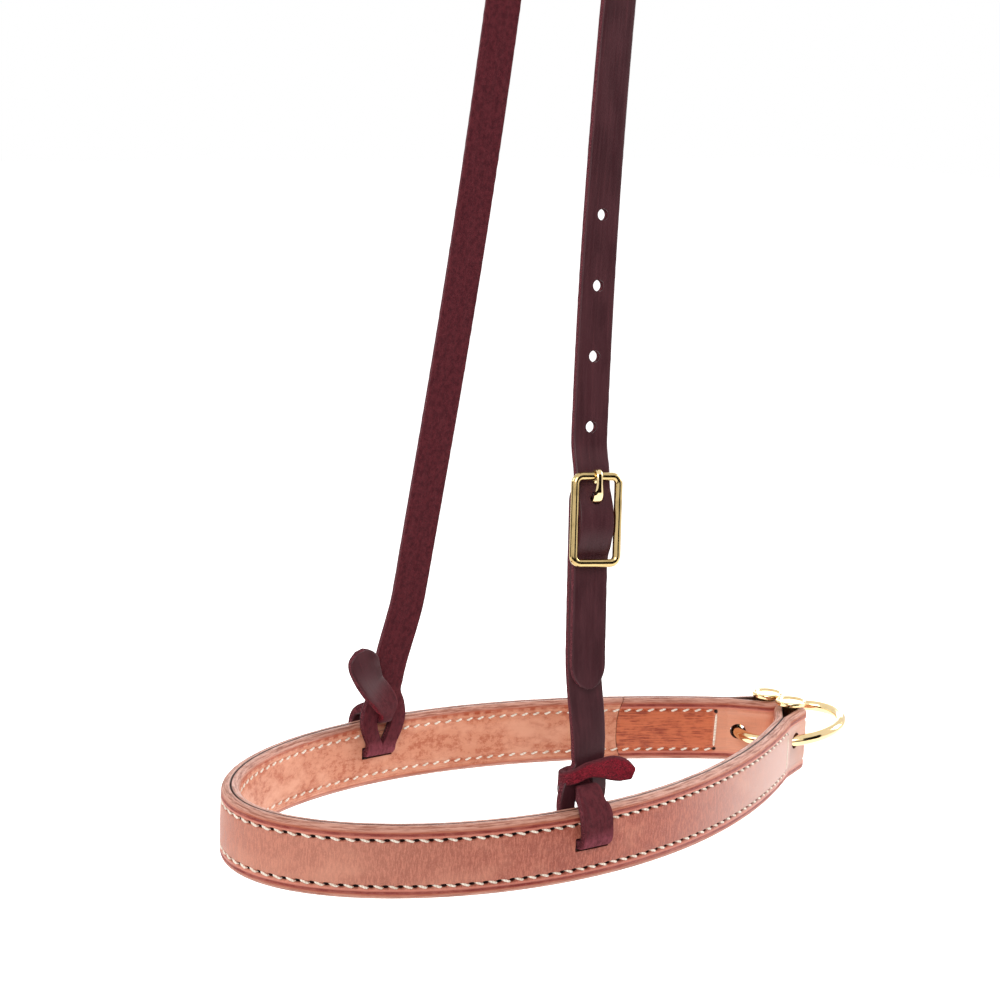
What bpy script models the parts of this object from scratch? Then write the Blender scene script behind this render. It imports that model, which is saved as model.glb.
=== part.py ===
# A tie-down noseband: a doubled and sewn leather strap folded round two binding posts, a ring that
# runs through both folds, and a narrow hanger with a buckle, tied to the cheeks with slit knots.
# Metres, +Z up. The nose is towards -Y, the ring towards +Y and the buckle side at +X.
# The origin is the middle of the flat underside of the hanger's crown, which hangs on the poll.

import math

import bmesh
import bpy
import numpy as np
from mathutils import Matrix, Vector

mm = 0.001

# Clearances
gap = 0.3 * mm
slotGap = 0.8 * mm
foldSideGap = 0.3 * mm
cheekGap = 0.8 * mm

# Sewn strap of the noseband
bandHeight = 25.4 * mm
layerThickness = 3.35 * mm
edgeRound = 2.2 * mm
bandDrop = 500 * mm
bandStep = 9.5 * mm

# Teardrop plan of the noseband, from the nose to where its sides would meet
teardropLength = 259.4 * mm
teardropHalfWidth = 62.5 * mm
teardropFullness = 0.5
noseReach = 140 * mm

# Fold-backs and binding posts
foldBackLength = 62 * mm
foldOpening = 16 * mm
foldArcParts = 12
postRadius = 3.0 * mm
postHeadRadius = 6.0 * mm
postHeadThickness = 1.8 * mm
postRise = 1.2 * mm
postRim = 0.6 * mm
postDish = 0.5 * mm
screwHeadThickness = 1.6 * mm
screwRadius = 1.75 * mm
screwReach = 14 * mm
screwSlotWidth = 1.2 * mm
screwSlotDepth = 0.9 * mm
roundParts = 24

# Ring
ringRadius = 21 * mm
ringWire = 2.15 * mm
ringSetOut = 6.2 * mm
ringRise = 3.4 * mm
ringTilt = math.radians(9)
ringLean = math.radians(3)
ringPlay = 0.9 * mm

# Stitching
stitchRow = 8.1 * mm
crossStitchSetBack = 3.6 * mm
threadWidth = 1.0 * mm
threadDepth = 0.8 * mm
creaseDepth = 0.2 * mm

# Hanger straps
hangerWidth = 12.7 * mm
hangerThickness = 3.0 * mm
crownFlat = 24 * mm
crownHalf = 27.5 * mm
legSpread = 170 * mm
legEase = 1.4
legBend = 1.18
swayStart = 8 * mm
swayRise = 18 * mm
swayEnd = 30 * mm
swayFall = 35 * mm
legStep = 16 * mm
holeRadius = 2.0 * mm
holePitch = 24 * mm
spareHoles = 4
tongueHoleDrop = 7.6 * mm
billetReach = 65.3 * mm
billetPoint = 9 * mm
cheekEndReach = 5.5 * mm
easeOut = 14 * mm

# How far each face of the hanger turns from the centre plane, in degrees, by height over the band
buckleSideTurn = ((14, 0), (50, -14), (150, -16), (290, -9), (480, -10))
offSideTurn = ((14, 0), (50, -17), (150, -20), (290, -28), (480, -10))

# How far each side's slot, and its strap in the knot, lie off the hanger's line, towards the ring
slotShift = {1: 0.0 * mm, -1: -3.6 * mm}
knotShift = {1: 3.3 * mm, -1: -3.9 * mm}

# Slots and slit knots at the cheeks. Each loop leans this far at its top.
loopLean = {1: -1.4 * mm, -1: 0.0 * mm}
cheekForward = 5 * mm
cheekSlotHeight = 0.9 * mm
bendRadius = 2.2 * mm
slitMiddle = 15 * mm
slitLength = 21 * mm
gatherHeight = 16 * mm
slitOpening = 3.5 * mm
footEase = 4 * mm

# Buckle
buckleHeight = 110.8 * mm
buckleSpan = 29.7 * mm
buckleWire = 1.4 * mm
buckleCorner = 3.2 * mm
buckleSideGap = 0.35 * mm
tongueThickness = 1.0 * mm
tongueWidth = 2.6 * mm
tongueTipWidth = 1.5 * mm
tongueCurlGap = 0.2 * mm
tongueCurlParts = 8
tongueWrap = math.radians(250)
tongueReach = 9.1 * mm
tongueDip = math.radians(46)

# Sizes that follow from those above
bandThickness = 2 * layerThickness + gap
layerOffset = (layerThickness + gap) / 2
foldRadius = postRadius + gap + layerThickness / 2
foldOuterRadius = foldRadius + layerThickness / 2
postX = foldOuterRadius + foldSideGap / 2
grooveWidth = threadWidth + 2 * gap
grooveDepth = threadDepth + gap
cheekStandOff = bandThickness / 2 + cheekGap + hangerThickness / 2
cheekSlotLength = hangerWidth + 2 * slotGap
cheekSlotOpening = hangerThickness + 2 * slotGap
crownRadius = crownHalf - crownFlat / 2
legTop = bandDrop + hangerThickness / 2 - crownRadius
frontLayer = hangerThickness + gap
topBarHeight = buckleHeight + buckleSpan / 2
tongueCurl = buckleWire + tongueCurlGap + tongueThickness / 2
bucklePlane = frontLayer + hangerThickness / 2 + gap + tongueCurl + tongueThickness / 2
tongueHoleHeight = topBarHeight - tongueHoleDrop


# Seam line between the two layers, in plan, with distances counted from the nose


def swell(s):
    return s * (1 - s * s) * (1 + teardropFullness * s * s)


samples = np.linspace(-1, 1, 2001)
swellPeak = swell(samples).max()
seamX = teardropHalfWidth * swell(samples) / swellPeak
seamY = teardropLength * samples**2 - noseReach
seamRun = np.concatenate([[0], np.cumsum(np.hypot(np.diff(seamX), np.diff(seamY)))])
seamRun -= seamRun[len(samples) // 2]
headingX = np.gradient(seamX, seamRun)
headingY = np.gradient(seamY, seamRun)


def seamAt(run, offset=0.0):
    # The point beside the seam line at this distance, offset outwards, and the outward direction
    heading = Vector((np.interp(run, seamRun, headingX), np.interp(run, seamRun, headingY)))
    outward = Vector((heading.y, -heading.x)).normalized()
    point = Vector((np.interp(run, seamRun, seamX), np.interp(run, seamRun, seamY)))
    return point + offset * outward, outward


pastWidest = samples > samples[np.argmax(seamX)]
postRun = float(np.interp(-postX, -seamX[pastWidest], seamRun[pastWidest]))
post = seamAt(postRun)[0]
ringY = post.y + ringSetOut
ringSlotReach = ringRadius + ringWire + ringPlay


def ringCrossing(offset, reach):
    # Where a face of the folded strap is this far from the ring's middle
    runs = np.linspace(postRun, 0, 400)
    places = [seamAt(run, offset)[0] for run in runs]
    reaches = [(place - Vector((0, ringY))).length for place in places]
    return seamAt(np.interp(reach, reaches, runs), offset)[0]


ringSlotY = ringCrossing(-bandThickness / 2, ringSlotReach).y
slotRun = float(np.interp(ringSlotY, seamY[pastWidest], seamRun[pastWidest]))
backRun = postRun - foldBackLength
crossRun = slotRun - crossStitchSetBack
sewnRun = crossRun + grooveWidth
openRun = postRun - foldOpening
cheekLine = float(seamY[np.argmax(seamX)]) - cheekForward
cheekY = {side: cheekLine + shift for side, shift in slotShift.items()}
cheekHalf = {
    side: float(np.interp(y, seamY[samples > 0], seamX[samples > 0])) for side, y in cheekY.items()
}
footTop = slitMiddle + slitLength


def runsThrough(breaks, step):
    runs = [breaks[0]]
    for start, end in zip(breaks, breaks[1:]):
        parts = max(1, round((end - start) / step))
        runs += [start + (end - start) * i / parts for i in range(1, parts + 1)]
    return runs


bandRuns = runsThrough((0, backRun - gap / 2, backRun + gap / 2, sewnRun, openRun), bandStep)


# Materials


def material(name, colour, roughness, metallic=0.0):
    made = bpy.data.materials.new(name)
    made.use_nodes = True
    shader = made.node_tree.nodes["Principled BSDF"]
    shader.inputs["Base Color"].default_value = (*colour, 1)
    shader.inputs["Roughness"].default_value = roughness
    shader.inputs["Metallic"].default_value = metallic
    return made


# Mesh helpers


def addPiece(name, mesh, look, place=None, hinge=None):
    # A piece of the noseband hangs from the hinge, an empty in the middle of the cheek slots' line
    piece = bpy.data.objects.new(name, mesh)
    bpy.context.scene.collection.objects.link(piece)
    mesh.materials.append(look)
    mesh.shade_smooth()
    mesh.set_sharp_from_angle(angle=math.radians(35))
    if place is not None:
        piece.matrix_basis = place
    if hinge is not None:
        piece.parent = hinge
        piece.matrix_parent_inverse = Matrix.Translation(hinge.location).inverted()
    return piece


def finishedMesh(name, shape):
    bmesh.ops.recalc_face_normals(shape, faces=shape.faces)
    mesh = bpy.data.meshes.new(name)
    shape.to_mesh(mesh)
    shape.free()
    return mesh


def sweptMesh(name, rings, closed=False):
    # Joins rings of equally many points into one body, capped unless it closes on itself
    shape = bmesh.new()
    rows = [[shape.verts.new(point) for point in ring] for ring in rings]
    follows = rows[1:] + rows[:1] if closed else rows[1:]
    for row, after in zip(rows, follows):
        for i in range(len(row)):
            j = (i + 1) % len(row)
            shape.faces.new((row[i], row[j], after[j], after[i]))
    if not closed:
        shape.faces.new(rows[0])
        shape.faces.new(rows[-1])
    return finishedMesh(name, shape)


def guide(name, mesh):
    cutter = bpy.data.objects.new(name, mesh)
    bpy.context.scene.collection.objects.link(cutter)
    cutter.hide_render = True
    cutter.display_type = "WIRE"
    return cutter


def boxCutter(name, boxes):
    # One guide mesh of several boxes, each given by its centre, its three axes and its sizes
    shape = bmesh.new()
    for centre, axes, sizes in boxes:
        turn = Matrix(axes).transposed().to_4x4()
        scale = Matrix.Diagonal((*sizes, 1))
        bmesh.ops.create_cube(shape, size=1, matrix=Matrix.Translation(centre) @ turn @ scale)
    return guide(name, finishedMesh(name, shape))


def cut(piece, cutter):
    modifier = piece.modifiers.new(cutter.name, "BOOLEAN")
    modifier.operation = "DIFFERENCE"
    modifier.solver = "EXACT"
    modifier.object = cutter


def circle(radius, parts):
    turns = [2 * math.pi * i / parts for i in range(parts)]
    return [(radius * math.cos(turn), radius * math.sin(turn)) for turn in turns]


def turnedMesh(name, outline):
    # Revolves an outline of (radius, height) points, with a flat cap at each end
    rings = [[(x, y, height) for x, y in circle(radius, roundParts)] for radius, height in outline]
    return sweptMesh(name, rings)


# Sewn strap


def layerProfile(depth):
    # Cross-section as (outwards, up) points: square at the seam, burnished round where it shows,
    # with a groove of this depth for each row of stitches
    face = layerThickness / 2
    top = bandHeight / 2
    upper = [(-face, top)]
    for i in range(4):
        turn = math.radians(90 - 30 * i)
        across = face - edgeRound + edgeRound * math.cos(turn)
        upper.append((across, top - edgeRound + edgeRound * math.sin(turn)))
    for edge, level in ((1, face), (1, face - depth), (-1, face - depth), (-1, face)):
        upper.append((level, stitchRow + edge * grooveWidth / 2))
    lower = [(across, -up) for across, up in reversed(upper)]
    return upper + lower


def layerMesh(name, line, depths):
    rings = []
    for i, point in enumerate(line):
        heading = (line[min(i + 1, len(line) - 1)] - line[max(i - 1, 0)]).normalized()
        outward = Vector((heading.y, -heading.x))
        ring = []
        for across, up in layerProfile(depths[i]):
            place = point + across * outward
            ring.append((place.x, place.y, up - bandDrop))
        rings.append(ring)
    return sweptMesh(name, rings)


def mirrored(line):
    return [Vector((-point.x, point.y)) for point in reversed(line)]


def touchAngles():
    # Where the straight runs of a fold meet its arc round the post
    outer = seamAt(openRun, layerOffset)[0] - post
    inner = seamAt(openRun, -layerOffset)[0] - post
    start = math.atan2(outer.y, outer.x) + math.acos(foldRadius / outer.length)
    end = math.atan2(inner.y, inner.x) - math.acos(foldRadius / inner.length)
    return start, end + 2 * math.pi


def outerStrap(look, hinge):
    half = [seamAt(run, layerOffset)[0] for run in bandRuns]
    depths = [grooveDepth if run <= sewnRun else creaseDepth for run in bandRuns]
    start, end = touchAngles()
    for i in range(foldArcParts + 1):
        turn = start + (end - start) * i / foldArcParts
        half.append(post + foldRadius * Vector((math.cos(turn), math.sin(turn))))
        depths.append(creaseDepth)
    for run in reversed(bandRuns):
        if run > backRun:
            half.append(seamAt(run, -layerOffset)[0])
            depths.append(grooveDepth if run <= sewnRun else creaseDepth)
    line = mirrored(half[1:]) + half
    depths = depths[:0:-1] + depths
    mesh = layerMesh("noseband_outer", line, depths)
    return addPiece("noseband_outer", mesh, look, hinge=hinge)


def liner(look, hinge):
    half = [seamAt(run, -layerOffset)[0] for run in bandRuns if run < backRun]
    line = list(reversed(mirrored(half)[:-1] + half))
    depths = [grooveDepth] * len(line)
    mesh = layerMesh("noseband_liner", line, depths)
    return addPiece("noseband_liner", mesh, look, hinge=hinge)


def cheekSlotCutter():
    boxes = []
    for side in (1, -1):
        centre = (side * cheekHalf[side], cheekY[side], cheekSlotHeight - bandDrop)
        sizes = (3 * bandThickness, cheekSlotLength, cheekSlotOpening)
        boxes.append((centre, Matrix.Identity(3), sizes))
    return boxCutter("cheek_slot_cutter", boxes)


def ringSlotCutter():
    # A round slot that follows the ring, tall enough for the tilted wire in both folds
    crossing = ringCrossing(0, ringRadius)
    middle = ringRise + (crossing.y - ringY) * math.tan(ringTilt) - bandDrop
    half = ringWire + ringPlay + crossing.x * math.tan(ringLean)
    outline = [(ringSlotReach, middle - half), (ringSlotReach, middle + half)]
    cutter = guide("ring_slot_cutter", turnedMesh("ring_slot_cutter", outline))
    cutter.location = (0, ringY, 0)
    return cutter


def crossStitchCutter():
    boxes = []
    for side in (1, -1):
        for face in (1, -1):
            middle = face * (bandThickness / 2 - grooveDepth + bandThickness / 2)
            point, outward = seamAt(side * crossRun, middle)
            axes = (outward.to_3d(), Vector((-outward.y, outward.x, 0)), Vector((0, 0, 1)))
            sizes = (bandThickness, grooveWidth, 2 * stitchRow + grooveWidth)
            boxes.append(((point.x, point.y, -bandDrop), axes, sizes))
    return boxCutter("cross_stitch_cutter", boxes)


def threadLoop(name, face, look, hinge):
    # One thread all round a face: along the upper row, down a cross stitch and back along the lower
    half = threadWidth / 2
    inside = [run for run in bandRuns if 0 < run < crossRun - half]
    row = [-run for run in reversed(inside)] + [0.0] + inside
    edges = [((-crossRun - half, stitchRow + half), (-crossRun + half, stitchRow - half))]
    edges += [((run, stitchRow + half), (run, stitchRow - half)) for run in row]
    edges.append(((crossRun + half, stitchRow + half), (crossRun - half, stitchRow - half)))
    edges += [((rim[0], -rim[1]), (core[0], -core[1])) for rim, core in reversed(edges)]
    surface = bandThickness / 2
    rings = []
    for rim, core in edges:
        ring = []
        for (run, up), level in ((rim, surface - threadDepth), (rim, surface), (core, surface),
                                 (core, surface - threadDepth)):
            point = seamAt(run, face * level)[0]
            ring.append((point.x, point.y, up - bandDrop))
        rings.append(ring)
    return addPiece(name, sweptMesh(name, rings, closed=True), look, hinge=hinge)


# Posts and ring


def bindingPost(side, sideName, look, hinge):
    # The barrel stands a little over the strap, and its screw is flush with the strap's lower edge
    foot = -bandHeight / 2
    headFoot = bandHeight / 2 + postRise
    headTop = headFoot + postHeadThickness
    screwTop = foot + screwHeadThickness
    bore = screwRadius + gap
    barrel = [
        (postHeadRadius - 3 * postRim, headTop - postDish),
        (postHeadRadius - 2 * postRim, headTop),
        (postHeadRadius - postRim, headTop),
        (postHeadRadius, headTop - postRim),
        (postHeadRadius, headFoot),
        (postRadius, headFoot),
        (postRadius, screwTop + gap),
        (bore, screwTop + gap),
        (bore, screwTop + screwReach + gap),
    ]
    screw = [
        (postRadius - postRim, foot),
        (postRadius, foot + postRim),
        (postRadius, screwTop),
        (screwRadius, screwTop),
        (screwRadius, screwTop + screwReach),
    ]
    place = Matrix.Translation((side * post.x, post.y, -bandDrop))
    name = f"{sideName}_post_barrel"
    addPiece(name, turnedMesh(name, barrel), look, place, hinge)
    name = f"{sideName}_post_screw"
    driven = addPiece(name, turnedMesh(name, screw), look, place, hinge)
    centre = (side * post.x, post.y, foot - bandDrop)
    sizes = (4 * postRadius, screwSlotWidth, 2 * screwSlotDepth)
    slot = boxCutter(f"{sideName}_screw_slot_cutter", [(centre, Matrix.Identity(3), sizes)])
    cut(driven, slot)


def tieRing(look, hinge):
    rings = []
    for x, y in circle(1, 2 * roundParts):
        ring = []
        for out, up in circle(ringWire, roundParts // 2):
            ring.append((x * (ringRadius + out), y * (ringRadius + out), up))
        rings.append(ring)
    place = Matrix.Translation((0, ringY, ringRise - bandDrop))
    place = place @ Matrix.Rotation(ringTilt, 4, "X") @ Matrix.Rotation(-ringLean, 4, "Y")
    return addPiece("tie_ring", sweptMesh("tie_ring", rings, closed=True), look, place, hinge)


# Hanger straps. A station holds a place, the direction across the strap, half its width and
# thickness there, and half the opening of the slit, which is nought outside the knots.


def eased(t):
    t = min(max(t, 0.0), 1.0)
    return t * t * (3 - 2 * t)


def turnAt(turns, height):
    # The strap's turn in radians, eased from each given height to the next
    heights = [entry[0] * mm for entry in turns]
    angles = [math.radians(entry[1]) for entry in turns]
    if height <= heights[0]:
        return angles[0]
    for i in range(1, len(turns)):
        if height <= heights[i]:
            share = eased((height - heights[i - 1]) / (heights[i] - heights[i - 1]))
            return angles[i - 1] + (angles[i] - angles[i - 1]) * share
    return angles[-1]


def legPoint(side, height):
    # The hanger's line at this height over the middle of the band
    foot = cheekHalf[side] - cheekStandOff
    fall = max(height - bandHeight / 2, 0) / legSpread
    x = crownHalf + (foot - crownHalf) * math.exp(-(fall**legEase))
    shift = knotShift[side] - slotShift[side]
    sway = slotShift[side] + shift * eased((height - swayStart) / swayRise)
    sway *= 1 - eased((height - swayEnd) / swayFall)
    y = cheekLine * (1 - (max(height, 0) / legTop) ** legBend) + sway
    return Vector((side * x, y, height - bandDrop))


def legAcross(side, height):
    turn = turnAt(buckleSideTurn if side > 0 else offSideTurn, height)
    return Vector((-math.sin(turn), math.cos(turn), 0))


def legFrame(side, height):
    # Across, up and outward directions of the hanger at this height
    up = (legPoint(side, height + mm) - legPoint(side, height - mm)).normalized()
    across = legAcross(side, height)
    across = (across - across.dot(up) * up).normalized()
    return across, up, side * across.cross(up)


def station(place, across, halfWidth=hangerWidth / 2, halfThickness=hangerThickness / 2, slit=0.0):
    return Vector(place), Vector(across), halfWidth, halfThickness, slit


def legStation(side, height, layer=0.0, halfWidth=hangerWidth / 2):
    across, _, outward = legFrame(side, height)
    slit = 0.0
    if abs(height - slitMiddle) < 0.999 * slitLength / 2:
        slit = slitOpening * math.cos(math.pi * (height - slitMiddle) / slitLength)
    return station(legPoint(side, height) + layer * outward, across, halfWidth + slit, slit=slit)


def footHeights():
    # Heights from just over the knot down to the foot of the slit
    top = slitMiddle + slitLength / 2
    slitHeights = [top - slitLength * i / 8 for i in range(9)]
    return [footTop, top + footEase] + slitHeights


def cheekPlace(side, along, out, height):
    return Vector((side * (cheekHalf[side] + out), cheekY[side] + along, height - bandDrop))


def slotTurn(side):
    # Down the inside, through the slot and up the outside
    across = Vector((0, 1, 0))
    straight = cheekStandOff - bendRadius
    found = []
    for end in (-1, 1):
        for i in range(5):
            turn = math.radians(22.5 * (i if end < 0 else 4 - i))
            out = end * (straight + bendRadius * math.cos(turn))
            height = cheekSlotHeight + bendRadius * (1 - math.sin(turn))
            found.append(station(cheekPlace(side, 0, out, height), across))
    return found


def smoothRoute(rows, parts):
    # Points of a curve through all the rows, which hold places, directions and sizes alike
    rows = np.array(rows)
    ends = np.vstack([2 * rows[0] - rows[1], rows, 2 * rows[-1] - rows[-2]])
    found = []
    for i in range(1, len(ends) - 2):
        before, start, end, after = ends[i - 1 : i + 3]
        for step in range(parts):
            t = step / parts
            bend = 2 * before - 5 * start + 4 * end - after
            twist = 3 * start - before - 3 * end + after
            found.append(start + 0.5 * t * (end - before + t * (bend + t * twist)))
    found.append(rows[-1])
    return found


def tailStations(side, rows):
    # Rows hold along, out and up places, the across direction, half width and half thickness, in mm
    found = []
    for row in smoothRoute(rows, 3):
        along, out, height, acrossAlong, acrossOut, acrossUp, halfWidth, halfThickness = row.tolist()
        place = cheekPlace(side, along * mm, out * mm, height * mm)
        across = Vector((side * acrossOut, acrossAlong, acrossUp))
        found.append(station(place, across, halfWidth * mm, halfThickness * mm))
    return found


def gatherRows(side):
    # Up the outside, over the top edge and, gathered narrow, in through the strap's own slit
    flat = hangerWidth / 2 / mm
    thick = hangerThickness / 2 / mm
    out = cheekStandOff / mm
    edge = bandHeight / 2 / mm
    middle = gatherHeight / mm
    narrow = 0.4 * slitOpening / mm
    slitAlong = (legPoint(side, gatherHeight).y - cheekY[side]) / mm
    lean = loopLean[side] / mm
    return [
        (0.1 * lean, out, edge - 5, 1, 0, 0, flat, thick),
        (0.5 * lean, out, edge - 1, 1, 0, 0, flat, thick),
        (lean, out - 0.9, edge + 2.3, 1, 0, 0, flat - 0.8, thick + 0.1),
        (0.8 * lean + 0.2 * slitAlong, out - 3.4, edge + 4, 1, 0, 0, flat - 2, thick + 0.6),
        (0.3 * lean + 0.6 * slitAlong, -1.2, edge + 4.7, 1, 0, 0, flat - 3, thick + 1.4),
        (slitAlong, -out, middle, 1, 0, 0, narrow, thick + 1.2),
    ]


def offSideTail():
    # Comes out on the inside and stands up towards the nose, turned a little on the way
    flat = hangerWidth / 2 / mm
    thick = hangerThickness / 2 / mm
    return gatherRows(-1) + [
        (-0.6, -9.4, 17.6, 1, 0, 0.1, 2.4, 2.6),
        (-2.0, -11.9, 21.2, 0.93, 0, 0.36, 4.6, 1.8),
        (-5.4, -12.6, 25.8, 0.8, 0.2, 0.5, 5.6, thick),
        (-9.4, -12.2, 30.4, 0.74, 0.3, 0.5, 6.0, thick),
        (-11.6, -11.2, 35.6, 0.86, 0.12, 0.42, flat, thick),
        (-12.8, -10.8, 39.6, 0.93, -0.05, 0.36, flat - 0.2, thick),
        (-13.6, -10.6, 42.4, 0.94, -0.05, 0.34, flat - 1.9, thick),
        (-14.1, -10.6, 43.9, 0.94, -0.05, 0.34, 1.9, thick),
    ]


def buckleSideTail():
    # Comes out on the inside, goes round the nose edge of the strap and crosses in front of it
    thick = hangerThickness / 2 / mm
    return gatherRows(1) + [
        (1.4, -9.0, 16.8, 0.95, -0.3, 0, 1.9, 2.9),
        (-1.4, -10.9, 18.4, 0.4, -0.92, 0, thick, 3.2),
        (-4.9, -10.4, 20.8, -0.6, -0.8, 0, thick, 2.8),
        (-7.4, -6.8, 23.2, -1, 0.05, 0, thick, 2.4),
        (-5.0, -3.0, 24.3, -0.6, 0.8, 0, thick, 2.4),
        (0.8, -2.6, 24.9, -0.1, 1, 0, thick, 2.7),
        (6.8, -2.4, 24.9, 0, 1, 0, thick, 3.4),
        (12.2, -1.9, 24.3, -0.1, 0.99, 0, thick, 4.4),
        (16.8, -0.9, 23.0, -0.15, 0.98, 0, thick, 3.9),
        (19.6, 0.3, 21.8, -0.2, 0.97, 0, thick, 2.3),
    ]


def strapMesh(name, stations):
    # A strap of two halves side by side, which part where there is a slit
    shape = bmesh.new()
    sections = []
    for i, (place, across, halfWidth, halfThickness, slit) in enumerate(stations):
        ahead = stations[min(i + 1, len(stations) - 1)][0] - stations[max(i - 1, 0)][0]
        ahead.normalize()
        across = (across - across.dot(ahead) * ahead).normalized()
        rise = halfThickness * ahead.cross(across)
        edge = halfWidth * across
        left = [shape.verts.new(place - edge + end * rise) for end in (-1, 1)]
        right = [shape.verts.new(place + edge + end * rise) for end in (-1, 1)]
        inner = [shape.verts.new(place - slit * across + end * rise) for end in (-1, 1)]
        other = inner
        if slit:
            other = [shape.verts.new(place + slit * across + end * rise) for end in (-1, 1)]
        sections.append((left, inner, other, right))
    for (left, inner, other, right), after in zip(sections, sections[1:]):
        nextLeft, nextInner, nextOther, nextRight = after
        strips = [
            (left[0], left[1], nextLeft[1], nextLeft[0]),
            (left[1], inner[1], nextInner[1], nextLeft[1]),
            (inner[0], left[0], nextLeft[0], nextInner[0]),
            (other[1], right[1], nextRight[1], nextOther[1]),
            (right[0], other[0], nextOther[0], nextRight[0]),
            (right[1], right[0], nextRight[0], nextRight[1]),
        ]
        if other is not inner or nextOther is not nextInner:
            strips.append((inner[1], inner[0], nextInner[0], nextInner[1]))
            strips.append((other[0], other[1], nextOther[1], nextOther[0]))
        for strip in strips:
            shape.faces.new(strip)
    for left, inner, _, right in (sections[0], sections[-1]):
        shape.faces.new((left[0], left[1], inner[1], right[1], right[0], inner[0]))
    return finishedMesh(name, shape)


def endWidths(reach):
    # Distances from the tip of a rounded end, with the strap's half width at each
    turns = [math.radians(15 * i) for i in range(1, 7)]
    return [(reach * (1 - math.cos(turn)), hangerWidth / 2 * math.sin(turn)) for turn in turns]


def crownArch():
    # Round one corner of the crown, along its flat and round the other corner
    found = []
    for side in (1, -1):
        for i in range(6):
            turn = math.radians(18 * (i if side > 0 else 5 - i))
            x = crownFlat / 2 + crownRadius * math.cos(turn)
            z = legTop + crownRadius * math.sin(turn) - bandDrop
            found.append(station((side * x, 0, z), legAcross(side, legTop)))
    return found


def legHeights(bottom, top):
    return runsThrough((bottom, top), legStep)


def knot(side, tail):
    # From just over the knot, through the slit and the slot, to the end of the tail
    foot = [legStation(side, height) for height in footHeights()]
    return foot + slotTurn(side) + tailStations(side, tail)


def crownStrap(look):
    # From the billet's tip through the buckle, over the crown and down to the knot on the far side
    tip = tongueHoleHeight - billetReach
    cheekEnd = tongueHoleHeight + cheekEndReach
    stations = []
    for reach, halfWidth in endWidths(billetPoint):
        stations.append(legStation(1, tip + reach, frontLayer, halfWidth))
    for height in legHeights(tip + billetPoint, cheekEnd + gap)[1:]:
        stations.append(legStation(1, height, frontLayer))
    for i in range(1, 6):
        layer = frontLayer * (1 - eased(i / 6))
        stations.append(legStation(1, cheekEnd + gap + easeOut * i / 6, layer))
    for height in legHeights(cheekEnd + gap + easeOut, legTop)[:-1]:
        stations.append(legStation(1, height))
    stations += crownArch()
    for height in reversed(legHeights(footTop, legTop)[1:-1]):
        stations.append(legStation(-1, height))
    stations += knot(-1, offSideTail())
    return addPiece("crown_strap", strapMesh("crown_strap", stations), look)


def cheekStrap(look):
    # From its hole behind the buckle down to the knot on the buckle side
    end = tongueHoleHeight + cheekEndReach
    tips = endWidths(hangerWidth / 2)
    stations = [legStation(1, end - reach, 0, halfWidth) for reach, halfWidth in tips]
    for height in reversed(legHeights(footTop, end - hangerWidth / 2)[1:-1]):
        stations.append(legStation(1, height))
    stations += knot(1, buckleSideTail())
    return addPiece("cheek_strap", strapMesh("cheek_strap", stations), look)


def frameMatrix(height, out, rise=0.0):
    # A place beside the buckle-side leg, with its across, up and outward directions
    across, up, outward = legFrame(1, height)
    turn = Matrix((across, up, outward)).transposed().to_4x4()
    return Matrix.Translation(legPoint(1, height) + out * outward + rise * up) @ turn


def strapHoleCutter():
    shape = bmesh.new()
    for i in range(spareHoles + 1):
        place = frameMatrix(tongueHoleHeight + i * holePitch, frontLayer / 2)
        bmesh.ops.create_cone(
            shape,
            cap_ends=True,
            segments=roundParts // 2,
            radius1=holeRadius,
            radius2=holeRadius,
            depth=5 * hangerThickness,
            matrix=place,
        )
    return guide("strap_hole_cutter", finishedMesh("strap_hole_cutter", shape))


# Buckle


def buckleFrame(look):
    halfWidth = hangerWidth / 2 + buckleSideGap + buckleWire
    corners = ((1, 1, 0), (-1, 1, 90), (-1, -1, 180), (1, -1, 270))
    rings = []
    for across, up, start in corners:
        centreX = across * (halfWidth - buckleCorner)
        centreY = up * (buckleSpan / 2 - buckleCorner)
        for i in range(5):
            turn = math.radians(start + 22.5 * i)
            x, y = math.cos(turn), math.sin(turn)
            ring = []
            for out, rise in circle(buckleWire, 8):
                reach = buckleCorner + out
                ring.append((centreX + reach * x, centreY + reach * y, rise))
            rings.append(ring)
    place = frameMatrix(buckleHeight, bucklePlane)
    return addPiece("buckle_frame", sweptMesh("buckle_frame", rings, closed=True), look, place)


def tongueLine():
    # (out, up) places from the bar's axis: round the bar, down the front, then in through the
    # hole along an arc about the bar, so that the tip leaves the hole as the tongue swings out
    line = []
    for i in range(tongueCurlParts + 1):
        turn = tongueWrap * (1 - i / tongueCurlParts)
        line.append((tongueCurl * math.cos(turn), tongueCurl * math.sin(turn)))
    line.append((tongueCurl, -0.4 * tongueReach))
    line.append((0.75 * tongueCurl, -0.72 * tongueReach))
    line.append((0.2 * tongueCurl, -0.93 * tongueReach))
    for i in range(1, 5):
        turn = tongueDip * i / 4
        line.append((-tongueReach * math.sin(turn), -tongueReach * math.cos(turn)))
    return [Vector(place) for place in line]


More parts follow.
